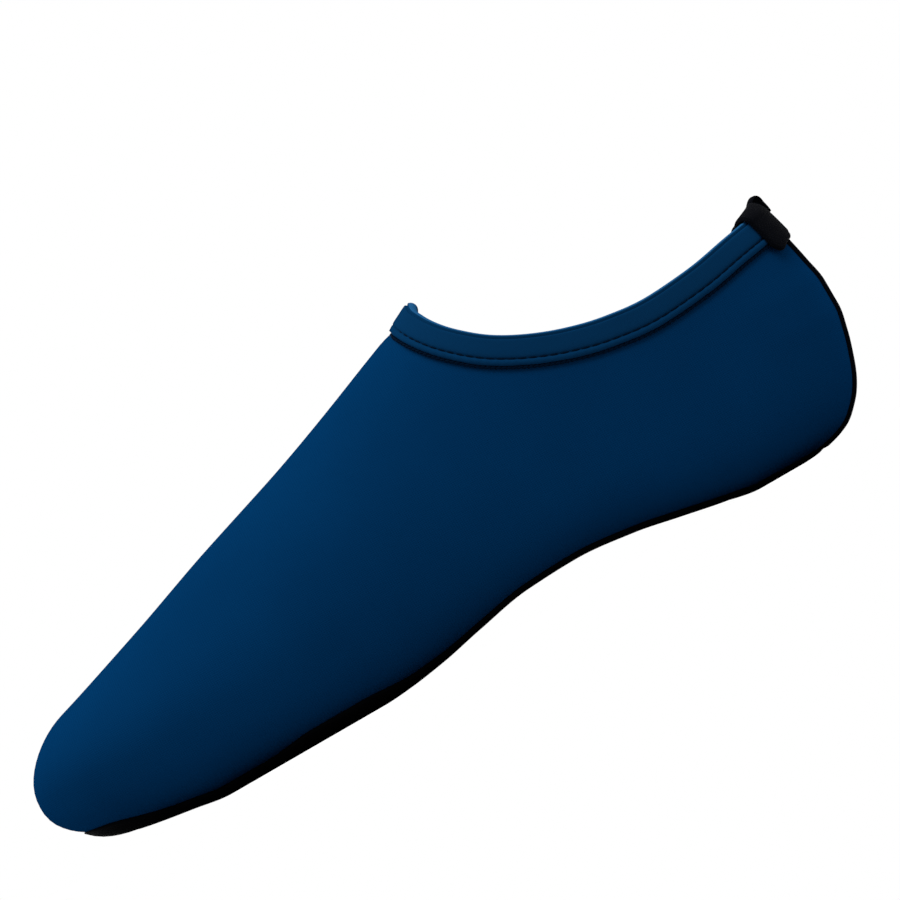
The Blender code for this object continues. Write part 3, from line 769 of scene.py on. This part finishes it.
# Upper: outer face, inner face and the rims that join them. The seam under the band
# pulls the face in a little.
FAR_AWAY = 1.0
SEAM_PULL = 0.00045
SEAM_PULL_WIDTH = 0.0015
SEAM_BELOW_BAND = 0.0004

grid = np.stack([fine_rows(path) for path in meridian_paths(FINE_MERIDIANS)])
normals = grid_normals(grid)
normals = unit(round_smooth(normals, 2))
cuff_row = FINE_UNDER_ROWS + FINE_WALL_ROWS
columns, rows = grid.shape[:2]

edge_dense = loop_resample(grid[:, -1], EDGE_SAMPLES)
from_top = np.full((columns, rows), FAR_AWAY)
for k in range(cuff_row - ROWS_UNDER_CUFF - 1, rows):
    gap = np.linalg.norm(grid[:, k, None] - edge_dense[None], axis=-1)
    from_top[:, k] = gap.min(axis=1)

pull = -SEAM_PULL * bump_at(from_top - BINDING_WIDTH - SEAM_BELOW_BAND, SEAM_PULL_WIDTH)
face = grid + normals * pull[..., None]
back_face = face - normals * UPPER_WALL

shell = np.concatenate([face.reshape(-1, 3), back_face.reshape(-1, 3)])
outside = quads(columns, rows, True)
inside = quads(columns, rows, True, shift=columns * rows)[:, ::-1]
i = np.arange(columns)
j = (i + 1) % columns
far = columns * rows
low_rim = np.stack([far + i * rows, far + j * rows, j * rows, i * rows], axis=1)
top_rim = low_rim[:, ::-1] + rows - 1
shell_faces = np.concatenate([outside, inside, top_rim, low_rim])
paint_of = np.concatenate([np.zeros(len(outside)), np.ones(len(inside) + 2 * columns)])
upper = piece("upper_shell", shell, shell_faces, [navy_knit, lining_knit], paint_of)
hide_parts("upper")


# Collar band: a profile of distance below the collar's edge and height off the cloth,
# in millimetres, swept round the collar and folded over it
BAND_OUTSIDE = (
    (6.66, 0.08),
    (6.74, 0.35),
    (6.74, 0.70),
    (6.63, 0.98),
    (6.40, 1.18),
    (6.00, 1.27),
    (5.62, 1.22),
    (5.33, 1.04),
    (5.12, 0.76),
    (4.96, 0.58),
    (4.80, 0.68),
    (4.63, 0.92),
    (4.30, 1.05),
    (3.70, 1.12),
    (3.00, 1.14),
    (2.20, 1.14),
    (1.40, 1.13),
    (0.70, 1.12),
    (0.20, 1.12),
)

# The most that it stands off where it crosses the instep
BAND_FRONT = ((0.7, 1.12), (4.0, 0.95), (6.72, 0.45))

# Its flap inside the shoe. Columns: share of the band's width, millimetres off the lining.
BAND_INSIDE = (
    (0.10, 0.80),
    (0.5, 0.80),
    (0.9, 0.80),
    (0.985, 0.55),
    (1.0, 0.25),
    (0.97, 0.02),
    (0.5, 0.0),
    (0.1, 0.0),
)

# Places on the band's profile in millimetres, and how wide and deep the stitches work it
GROOVE_ROW = 9
GROOVE_DROP = 4.96
GROOVE_SPREAD = 0.3
RIDGE_DROP = 6.00
RIDGE_SPREAD = 0.7
MIDDLE_DROP = 2.6
MIDDLE_SPREAD = 1.4
LOW_DROP = 6.72
LOW_SPREAD = 0.45
SEAM_DROP = 7.20
BEAK_FADE = 1.2
RIDGE_TUG = 0.00010
RIDGE_WAVE = 0.00014
GROOVE_TUG = 0.00014
MIDDLE_WAVE = 0.00006
LOW_WAVE = 0.00010

# Its fold over the collar's edge, with a groove on the outside and a painted highlight on its
# crown. Angles are in degrees up from the outside.
FOLD_ANGLES = 30
INNER_FOLD_ANGLES = 7
TOP_GROOVE_ANGLE = 20.0
TOP_GROOVE_SPREAD = 9.0
TOP_GROOVE_DEPTH = 0.0005
HIGHLIGHT_FROM = 42
HIGHLIGHT_TO = 114

# Where the band crosses the instep it lies flatter, and its fold rises to a small tip.
# Widths are how fast both fade to the sides.
FRONT_WIDTH = 0.009
BEAK_WIDTH = 0.0040
BEAK_RISE = 0.0010

# Threads of the stitches, which are sunk where they cross the instep
STITCH_PITCH = 0.0026
SEAM_PITCH = 0.0013
THREAD_SIDES = 8
THREAD_STEPS = 9
THREAD_FRONT_WIDTH = 0.012
THREAD_FRONT_SINK = 0.0006

edge_line = round_smooth(loop_resample(grid[:, -1], BAND_COLUMNS), 40)
edge_way = unit(np.roll(edge_line, -1, axis=0) - np.roll(edge_line, 1, axis=0))


def band_spot(drop):
    """The line round the last at a distance below the collar's edge, and its outward way."""
    line = np.empty((columns, 3))
    lean = np.empty((columns, 3))
    first = cuff_row - ROWS_UNDER_CUFF
    for i in range(columns):
        away = from_top[i, first:][::-1]
        line[i] = read_at([drop], away, grid[i, first:][::-1])[0]
        lean[i] = read_at([drop], away, normals[i, first:][::-1])[0]
    line = loop_resample(round_smooth(line, 2), BAND_COLUMNS)
    lean = loop_resample(lean, BAND_COLUMNS)
    return line, unit(round_smooth(lean, 12))


edge_out = band_spot(0.0)[1]
edge_out = unit(edge_out - (edge_out * edge_way).sum(axis=-1, keepdims=True) * edge_way)
edge_up = np.cross(edge_way, edge_out)
from_band = edge_line - band_spot(0.003)[0]
edge_up = edge_up * np.sign((edge_up * from_band).sum(axis=-1, keepdims=True))
edge_up = unit(round_smooth(edge_up, 20))

round_step = np.linalg.norm(np.roll(edge_line, -1, axis=0) - edge_line, axis=1)
round_run = np.concatenate([[0], np.cumsum(round_step)[:-1]])
round_length = round_step.sum()
stitch_count = int(round(round_length / STITCH_PITCH))
stitch_phase = round_run / round_length * stitch_count
tug = 0.5 + 0.5 * np.cos(2 * math.pi * stitch_phase)
random = np.random.default_rng(7)
uneven = random.normal(size=BAND_COLUMNS)
for _ in range(3):
    uneven = round_smooth(uneven, 6)
uneven = uneven / np.abs(uneven).max()
from_front = round_run - round_run[BAND_COLUMNS // 2]
front = bump_at(from_front, FRONT_WIDTH)
beak = bump_at(from_front, BEAK_WIDTH)[:, None] * BEAK_RISE

band_rows = []
for number, (drop, off) in enumerate(BAND_OUTSIDE):
    spot, lean = band_spot(drop / 1000)
    ridge = bump_at(drop - RIDGE_DROP, RIDGE_SPREAD)
    groove = bump_at(drop - GROOVE_DROP, GROOVE_SPREAD)
    middle = bump_at(drop - MIDDLE_DROP, MIDDLE_SPREAD)
    lift = off / 1000 + ridge * (RIDGE_TUG * tug + RIDGE_WAVE * uneven)
    lift = lift - groove * GROOVE_TUG * tug + middle * MIDDLE_WAVE * uneven
    plain = np.interp(drop, *zip(*BAND_FRONT)) / 1000
    lift = lift + front * (np.minimum(lift, plain) - lift)
    slip = bump_at(drop - LOW_DROP, LOW_SPREAD) * LOW_WAVE * uneven
    if number == GROOVE_ROW:
        groove_line = spot
        groove_lean = lean
        groove_lift = off / 1000
    raised = beak * np.exp(-drop / BEAK_FADE)
    band_rows.append(spot + lean * lift[:, None] + edge_up * (raised - slip[:, None]))
fold_radius = (UPPER_WALL + CLEARANCE + INSIDE_CLEARANCE) / 2
fold_middle = edge_line + edge_out * (CLEARANCE - fold_radius)
for angle in np.linspace(0, math.pi, FOLD_ANGLES + 1):
    turn = between(angle, edge_out, edge_up)
    sunk = TOP_GROOVE_DEPTH * bump_at(math.degrees(angle) - TOP_GROOVE_ANGLE, TOP_GROOVE_SPREAD)
    band_rows.append(fold_middle + (fold_radius + BINDING_THICKNESS - sunk) * turn + beak * edge_up)
for share, depth in BAND_INSIDE:
    base, out = band_spot(BINDING_WIDTH * share)
    band_rows.append(base - out * (UPPER_WALL + INSIDE_CLEARANCE + depth / 1000))
for angle in np.linspace(math.pi, 0, INNER_FOLD_ANGLES):
    turn = between(angle, edge_out, edge_up)
    band_rows.append(fold_middle + fold_radius * turn + beak * edge_up)
for share in (0.3, 0.6, 0.9):
    base, out = band_spot(BINDING_WIDTH * share)
    band_rows.append(base + out * CLEARANCE)
band_grid = np.stack(band_rows, axis=1)
on_fold = (np.arange(band_grid.shape[1]) - len(BAND_OUTSIDE)) * 180 / FOLD_ANGLES
# Faces on the fold's crown take the paler knit, a painted highlight
on_highlight = (on_fold >= HIGHLIGHT_FROM) & (on_fold < HIGHLIGHT_TO)
band_faces = quads(BAND_COLUMNS, band_grid.shape[1], True, True)[:, ::-1]
band_paints = np.tile(on_highlight, BAND_COLUMNS)
band = piece("collar_band", band_grid, band_faces, [band_knit, fold_highlight_knit], band_paints)
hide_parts("collar_binding")


# Stitches: short sunk threads along the band's groove, and an overcast seam under its edge
def thread_row(name, line, lean, count, span, radius, sunk, rise, slant, paint):
    """A row of short threads on a closed line. Each spans a share of its stitch."""
    step = np.linalg.norm(np.roll(line, -1, axis=0) - line, axis=1)
    run = np.concatenate([[0], np.cumsum(step)])
    middle = THREAD_STEPS // 2
    sway = np.linspace(-0.5, 0.5, THREAD_STEPS)
    bow = np.sin(np.linspace(0, math.pi, THREAD_STEPS)) ** 0.6
    taper = 0.45 + 0.55 * bow
    closed_line = np.concatenate([line, line[:1]])
    closed_lean = np.concatenate([lean, lean[:1]])
    points = []
    faces = []
    for number in range(count):
        share = (number + 0.5 + span * sway) / count
        at = share * run[-1] % run[-1]
        spot = read_at(at, run, closed_line)
        out = unit(read_at(at, run, closed_lean))
        heading = unit(np.gradient(spot, axis=0))
        down = np.cross(out, heading)
        down = down * -np.sign(down[middle, 2])
        near_front = bump_at(at[middle] - run[len(line) // 2], THREAD_FRONT_WIDTH)
        lift = (rise * bow - sunk) * (1 - near_front) - THREAD_FRONT_SINK * near_front
        spot = spot + out * lift[:, None] + down * (slant * sway)[:, None]
        heading = unit(np.gradient(spot, axis=0))
        side = unit(np.cross(heading, out))
        over = np.cross(side, heading)
        for angle in np.linspace(0, 2 * math.pi, THREAD_SIDES, endpoint=False):
            points.append(spot + radius * taper[:, None] * between(angle, side, over))
        shift = number * THREAD_STEPS * THREAD_SIDES
        faces.append(quads(THREAD_SIDES, THREAD_STEPS, True, shift=shift))
    return piece(name, np.concatenate(points), np.concatenate(faces), [paint], crease=80)


thread_row(
    "collar_stitches",
    groove_line + groove_lean * groove_lift,
    groove_lean,
    stitch_count,
    span=0.78,
    radius=0.00024,
    sunk=0.00006,
    rise=0.00030,
    slant=0.0,
    paint=thread,
)
seam_line, seam_lean = band_spot(SEAM_DROP / 1000)
thread_row(
    "collar_seam",
    seam_line,
    seam_lean,
    int(round(round_length / SEAM_PITCH)),
    span=1.25,
    radius=0.00036,
    sunk=-0.00005,
    rise=0.00035,
    slant=0.00055,
    paint=thread,
)


def two_layers(top, under):
    """The points and faces of a strip with a top, an underside and the border between."""
    wide_count, long_count = top.shape[:2]
    count = wide_count * long_count
    first = [k for k in range(long_count)]
    end = [i * long_count + long_count - 1 for i in range(1, wide_count)]
    last = [(wide_count - 1) * long_count + k for k in range(long_count - 2, -1, -1)]
    low = [i * long_count for i in range(wide_count - 2, 0, -1)]
    ring = np.array(first + end + last + low)
    after = np.roll(ring, -1)
    faces = [
        quads(wide_count, long_count, False),
        quads(wide_count, long_count, False, shift=count)[:, ::-1],
        np.stack([ring, after, count + after, count + ring], axis=1)[:, ::-1],
    ]
    points = np.concatenate([top.reshape(-1, 3), under.reshape(-1, 3)])
    return points, np.concatenate(faces)


# Heel tape: woven tape up the back seam, with rounded edges and sunk rows of stitches.
# The stitches' distances and spreads are in millimetres.
TAPE_COLUMNS = 41
TAPE_ROWS = 160
TAPE_EDGE_ROUNDING = 0.0006
TAPE_LOW_ROWS = 1.5
TAPE_LOW_START = 0.35
TAPE_TOP_ROWS = 3
TAPE_SEAM_DEPTH = 0.00012
TAPE_SEAM_SPREAD = 0.35
TAPE_RAIL_INSET = 1.3
TAPE_RAIL_SPREAD = 0.25


def tape_piece():
    top_height = grid[0, cuff_row, 2] - 2 * CLEARANCE
    level = np.linspace(TAPE_BOTTOM_HEIGHT, top_height, 400)
    line = np.stack([heel_centre(level), 0 * level, level], axis=1)
    line = at_shares(line, np.linspace(0, 1, TAPE_ROWS))
    off_centre = np.linspace(1, -1, TAPE_COLUMNS) * TAPE_WIDTH / 2
    wide = []
    for across in off_centre:
        start = line * np.array([0, 0, 1]) + np.array([SPINE_BACK, across, 0])
        wide.append(outward_hit(start, np.array([-1.0, 0.0, 0.0])))
    wide = np.stack(wide)
    lean = grid_normals(wide, False)
    inset = TAPE_WIDTH / 2 - np.abs(off_centre)
    row = np.arange(TAPE_ROWS)
    edge = np.clip(inset / TAPE_EDGE_ROUNDING, 0, 1)
    end = np.minimum(row / TAPE_LOW_ROWS + TAPE_LOW_START, row[::-1] / TAPE_TOP_ROWS)
    full = rounded(edge)[:, None] * rounded(np.clip(end, 0, 1))[None]
    sunk = bump_at(off_centre * 1000, TAPE_SEAM_SPREAD)
    sunk = sunk + bump_at(inset * 1000 - TAPE_RAIL_INSET, TAPE_RAIL_SPREAD)
    off = CLEARANCE * 0.4 + full * (TAPE_THICKNESS + 0.6 * CLEARANCE)
    off = off - sunk[:, None] * TAPE_SEAM_DEPTH
    return two_layers(wide + lean * off[..., None], wide + lean * CLEARANCE * 0.3)


points, faces = tape_piece()
tape = piece("heel_tape_cloth", points, faces, [black_webbing])
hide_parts("heel_tape")


# Heel tab: folded over the collar's back. Columns: share of half its width, drop of its
# outer flap, drop of its inner flap and rise of its ear, in millimetres.
TAB_LINE = (
    (0.00, 8.9, 7.5, 2.3),
    (0.08, 8.9, 7.5, 1.9),
    (0.20, 8.9, 7.5, 1.6),
    (0.45, 9.1, 7.5, 1.2),
    (0.60, 9.4, 7.4, 0.85),
    (0.73, 9.9, 7.2, 0.6),
    (0.84, 10.3, 7.0, 0.35),
    (0.91, 10.0, 6.7, 0.2),
    (0.96, 9.0, 6.2, 0.1),
    (1.00, 7.6, 5.5, 0.0),
)

# Its mesh, the thinning toward its hem in rows, the stitches above its hem in
# millimetres, and its ear, which leans back and is lower on the inside
TAB_COLUMNS = 101
TAB_FLAP_ROWS = 24
TAB_FOLD_ANGLES = 17
TAB_INNER_ROWS = 11
TAB_EDGE_ROUNDING = 0.0006
TAB_SMOOTHING = 8
HEM_ROWS = 2.0
BACK_HEM_ROWS = 5.0
BACK_HEM_SPREAD = 0.35
HEM_SEAM_RISE = 1.3
HEM_SEAM_SPREAD = 0.3
HEM_SEAM_DEPTH = 0.00016
EAR_POWER = 2.6
EAR_LEAN = -0.5
EAR_RISE = 0.0023
INNER_EAR = 0.55


def tab_piece():
    share = np.linspace(1, -1, TAB_COLUMNS)
    whole = collar_line(1.0, np.linspace(0, 1, 200))
    length = np.linalg.norm(np.diff(whole, axis=0), axis=1).sum()
    edge = []
    for s in share:
        side = 1.0 if s > 0 else -1.0
        edge.append(collar_line(side, np.array([abs(s) * TAB_WIDTH / 2 / length]))[0])
    edge = np.stack(edge)
    size = np.abs(share)
    outer_drop = smooth(TAB_LINE, 1, size) / 1000
    inner_drop = smooth(TAB_LINE, 2, size) / 1000
    peak = smooth(TAB_LINE, 3, size) / 1000
    upward = np.array([0, 0, 1.0])
    level_part = np.array([1, 1, 0])
    wall = [edge]
    for part in np.linspace(0, 1, TAB_FLAP_ROWS + 1)[1:]:
        spot = edge - upward * (outer_drop * part)[:, None]
        start = spot * upward + np.array([SPINE_BACK, 0, 0])
        wall.append(outward_hit(start, unit((spot - start) * level_part)))
    wall = np.stack(wall[::-1], axis=1)
    lean = grid_normals(wall, False)
    for _ in range(TAB_SMOOTHING):
        lean[1:-1] = unit(lean[:-2] + 2 * lean[1:-1] + lean[2:])
    out = lean[:, -1]
    up = unit(edge - wall[:, -3])
    up = unit(up - (up * out).sum(axis=-1, keepdims=True) * out)
    fold = (UPPER_WALL + CLEARANCE + INSIDE_CLEARANCE) / 2
    middle = edge + out * (CLEARANCE - fold)
    base = 2 * CLEARANCE + BINDING_THICKNESS
    full = rounded(np.clip((1 - size) * TAB_WIDTH / 2 / TAB_EDGE_ROUNDING, 0, 1))
    hem_rows = HEM_ROWS + BACK_HEM_ROWS * bump_at(size, BACK_HEM_SPREAD)
    layers = []
    for thickness, lift, seam_depth in (
        (TAB_THICKNESS, peak, HEM_SEAM_DEPTH),
        (0, peak * INNER_EAR, 0),
    ):
        grow = thickness * full
        rows_made = []
        for k in range(TAB_FLAP_ROWS):
            hem = np.clip(k / hem_rows, 0.02, 1)
            above_hem = k / TAB_FLAP_ROWS * outer_drop * 1000
            seam = bump_at(above_hem - HEM_SEAM_RISE, HEM_SEAM_SPREAD) * seam_depth
            off = base * (0.9 - 0.12 * (1 - hem)) + grow * rounded(hem) - seam
            rows_made.append(wall[:, k] + lean[:, k] * (CLEARANCE + off)[:, None])
        for angle in np.linspace(0, math.pi, TAB_FOLD_ANGLES):
            turn = between(angle, out, up)
            pinch = max(math.sin(angle), 0.0) ** EAR_POWER * lift
            hook = EAR_LEAN * pinch * lift / EAR_RISE
            ear = np.stack([hook, 0 * lift, pinch], axis=1)
            rows_made.append(middle + (fold + base + grow)[:, None] * turn + ear)
        for part in np.linspace(0, 1, TAB_INNER_ROWS + 1)[1:]:
            hem = np.clip((1 - part) * TAB_INNER_ROWS / HEM_ROWS, 0, 1)
            inward = out * (fold + base + grow * rounded(hem))[:, None]
            rows_made.append(middle - up * (inner_drop * part)[:, None] - inward)
        layers.append(np.stack(rows_made, axis=1))
    return two_layers(*layers)


points, faces = tab_piece()
tab = piece("heel_tab_cloth", points, faces, [black_webbing])
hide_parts("heel_tab")


# Sole and sock share a still finer ring of the form. The sole's lip ends on the upper,
# and its grooves have sloping sides.
LIP_CLEARANCE = 0.00005
LIP_RISE = 0.00045
LIP_ANGLES = 5
LIP_THINNING = 0.85
UNDER_THINNING = 0.25
INSIDE_STRIPS = 8
GROOVE_SLOPE = 1.2
GROOVE_FLOOR = 1.6
GROOVE_END_ROUNDING = 0.0012

sole_ring = loop_resample(grid[:, : FINE_UNDER_ROWS + 1], SOLE_COLUMNS)
ring_normals = unit(loop_resample(normals[:, : FINE_UNDER_ROWS + 1], SOLE_COLUMNS))


def across_strips(ring, strips):
    """Points between each point of a closed ring and the one opposite.

    The ring's two ends are its first point and the point half way round.
    """
    half = len(ring) // 2
    left = ring[: half + 1]
    right = np.concatenate([ring[:1], ring[: half - 1 : -1]])
    t = np.linspace(0, 1, strips + 1)[None, :, None]
    return left[:, None] * (1 - t) + right[:, None] * t


def groove_depth(points):
    """How deep the tread's grooves are at points of the sole's underside."""
    x = points[..., 0]
    y = points[..., 1]
    first = FOREFOOT_SPOT - GROOVE_PITCH * (FOREFOOT_GROOVES - 1) / 2
    nearest = np.clip(np.round((x - first) / GROOVE_PITCH), 0, FOREFOOT_GROOVES - 1)
    away = np.abs(x - first - nearest * GROOVE_PITCH) / (GROOVE_WIDTH / 2)
    inside_width = np.clip(GROOVE_FLOOR - GROOVE_SLOPE * away, 0, 1)
    end = np.clip((GROOVE_LENGTH / 2 - np.abs(y)) / GROOVE_END_ROUNDING + 0.5, 0, 1)
    return GROOVE_DEPTH * inside_width * end


def joined(*layers):
    """Grids of points after one another, as one list."""
    return np.concatenate([layer.reshape(-1, 3) for layer in layers])


def sole_piece():
    inner = sole_ring + ring_normals * CLEARANCE
    outer = inner.copy()
    inner[:, -1] = sole_ring[:, -1] + ring_normals[:, -1] * LIP_CLEARANCE
    for k in range(FINE_UNDER_ROWS + 1):
        lean = k / FINE_UNDER_ROWS
        depth = sole_thickness(sole_ring[:, k, 0]) * (1 - UNDER_THINNING * lean)
        depth = depth * (1 - lean**3) + edge_thickness(sole_ring[:, k, 0]) * lean**3
        off = CLEARANCE * (1 - lean**3) + LIP_CLEARANCE * lean**3
        outer[:, k] = sole_ring[:, k] + ring_normals[:, k] * (off + depth)[:, None]
        floor = ground(outer[:, k, 0], outer[:, k, 1])
        outer[:, k, 2] = floor if k == 0 else np.maximum(outer[:, k, 2], floor)
    outer[:, 0, :2] = inner[:, 0, :2]
    up_way = unit(sole_ring[:, -1] - sole_ring[:, -2])
    edge_thick = edge_thickness(sole_ring[:, -1, 0])[:, None]
    lip = []
    for angle in np.linspace(0, math.pi / 2, LIP_ANGLES)[1:]:
        thick = edge_thick * (1 - LIP_THINNING * (1 - math.cos(angle)))
        spot = sole_ring[:, -1] + ring_normals[:, -1] * (LIP_CLEARANCE + thick)
        lip.append(spot + up_way * LIP_RISE * math.sin(angle))
    lip = np.stack(lip, axis=1)
    cup = np.concatenate([inner[:, :1], outer[:, 1:], lip, inner[:, ::-1]], axis=1)
    cup[:, 0] = outer[:, 0]
    bottom = across_strips(outer[:, 0], SOLE_STRIPS)
    bottom[..., 2] = ground(bottom[..., 0], bottom[..., 1]) + groove_depth(bottom)
    top = across_strips(inner[:, 0], INSIDE_STRIPS)
    cup_count = cup.size // 3
    faces = [
        quads(*cup.shape[:2], True),
        quads(*bottom.shape[:2], False, shift=cup_count)[:, ::-1],
        quads(*top.shape[:2], False, shift=cup_count + bottom.size // 3),
    ]
    return joined(cup, bottom, top), np.concatenate(faces)


points, faces = sole_piece()
sole = piece("rubber_sole", points, faces, [black_rubber], crease=50)
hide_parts("outsole")


# Sock: its edge as shares of its clearance inward and of its thickness up
SOCK_EDGE = ((1.0, 0.0), (0.4, 0.25), (0.4, 0.75), (0.9, 1.0), (2.0, 1.06))
SOCK_LOW_STRIPS = 6


def sock_piece():
    ring = sole_ring[:, 0]
    inward = unit((sole_ring[:, 0] - sole_ring[:, 1]) * np.array([1, 1, 0]))
    rows_made = []
    for share, rise in SOCK_EDGE:
        spot = ring + inward * INSOLE_CLEARANCE * share
        rows_made.append(spot + np.array([0, 0, 1.0]) * (INSOLE_THICKNESS * rise))
    side = np.stack(rows_made, axis=1)
    top = across_strips(side[:, -1], SOCK_STRIPS)
    low = across_strips(side[:, 0], SOCK_LOW_STRIPS)
    count = side.size // 3
    faces = [
        quads(*side.shape[:2], True),
        quads(*top.shape[:2], False, shift=count),
        quads(*low.shape[:2], False, shift=count + top.size // 3)[:, ::-1],
    ]
    return joined(side, top, low), np.concatenate(faces)


points, faces = sock_piece()
sock = piece("insole_cloth", points, faces, [sock_knit])
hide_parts("insole")


# Floor: a plain pale sheet just under the sole
FLOOR_REACH = 6.0
FLOOR_DROP = 0.0001
FLOOR_GREY = 0.45
FLOOR_ROUGHNESS = 0.9

floor_paint = bpy.data.materials.new("pale_floor")
floor_paint.use_nodes = True
floor_shader = floor_paint.node_tree.nodes["Principled BSDF"]
floor_shader.inputs["Base Color"].default_value = (FLOOR_GREY, FLOOR_GREY, FLOOR_GREY, 1)
floor_shader.inputs["Roughness"].default_value = FLOOR_ROUGHNESS
floor_shader.inputs["Specular IOR Level"].default_value = 0.0
floor_mesh = bpy.data.meshes.new("floor")
corners = [(-1, -1), (1, -1), (1, 1), (-1, 1)]
floor_spots = [(x * FLOOR_REACH, y * FLOOR_REACH, -FLOOR_DROP) for x, y in corners]
floor_mesh.from_pydata(floor_spots, [], [(0, 1, 2, 3)])
floor_mesh.materials.append(floor_paint)
floor_object = bpy.data.objects.new("floor", floor_mesh)
bpy.context.scene.collection.objects.link(floor_object)

# Light: an even white room and one wide soft light overhead
OVERHEAD_POWER = 4.6
OVERHEAD_SPREAD = math.radians(70)
OVERHEAD_WAY = Vector((0.05, 0.10, -1.0))

world_light = bpy.data.worlds.new("studio")
world_light.use_nodes = True
background = world_light.node_tree.nodes["Background"]
background.inputs["Color"].default_value = (1.0, 1.0, 1.0, 1)
background.inputs["Strength"].default_value = 1.0
bpy.context.scene.world = world_light
sky = bpy.data.lights.new("overhead", "SUN")
sky.energy = OVERHEAD_POWER
sky.angle = OVERHEAD_SPREAD
overhead = bpy.data.objects.new("overhead", sky)
overhead.rotation_mode = "QUATERNION"
overhead.rotation_quaternion = OVERHEAD_WAY.to_track_quat("-Z", "Y")
bpy.context.scene.collection.objects.link(overhead)

# Camera: a long lens at the floor's height beside the outer side, rolled as in the photo
LENS = 235.4
SENSOR_WIDTH = 36.0
DISTANCE = 1.55
CAMERA_HEIGHT = 0.0
ROLL = math.radians(30.0)
AIM = Vector((-0.0729, 0.0, 0.0497))

lens = bpy.data.cameras.new("camera")
lens.lens = LENS
lens.sensor_width = SENSOR_WIDTH
camera = bpy.data.objects.new("camera", lens)
bpy.context.scene.collection.objects.link(camera)
back = Vector((0, -DISTANCE, CAMERA_HEIGHT - AIM.z)).normalized()
turn = (-back).to_track_quat("-Z", "Y").to_matrix() @ Matrix.Rotation(-ROLL, 3, "Z")
camera.rotation_mode = "QUATERNION"
camera.rotation_quaternion = turn.to_quaternion()
camera.location = (AIM.x, -DISTANCE, CAMERA_HEIGHT)
bpy.context.scene.camera = camera
bpy.context.scene.view_settings.view_transform = "Standard"
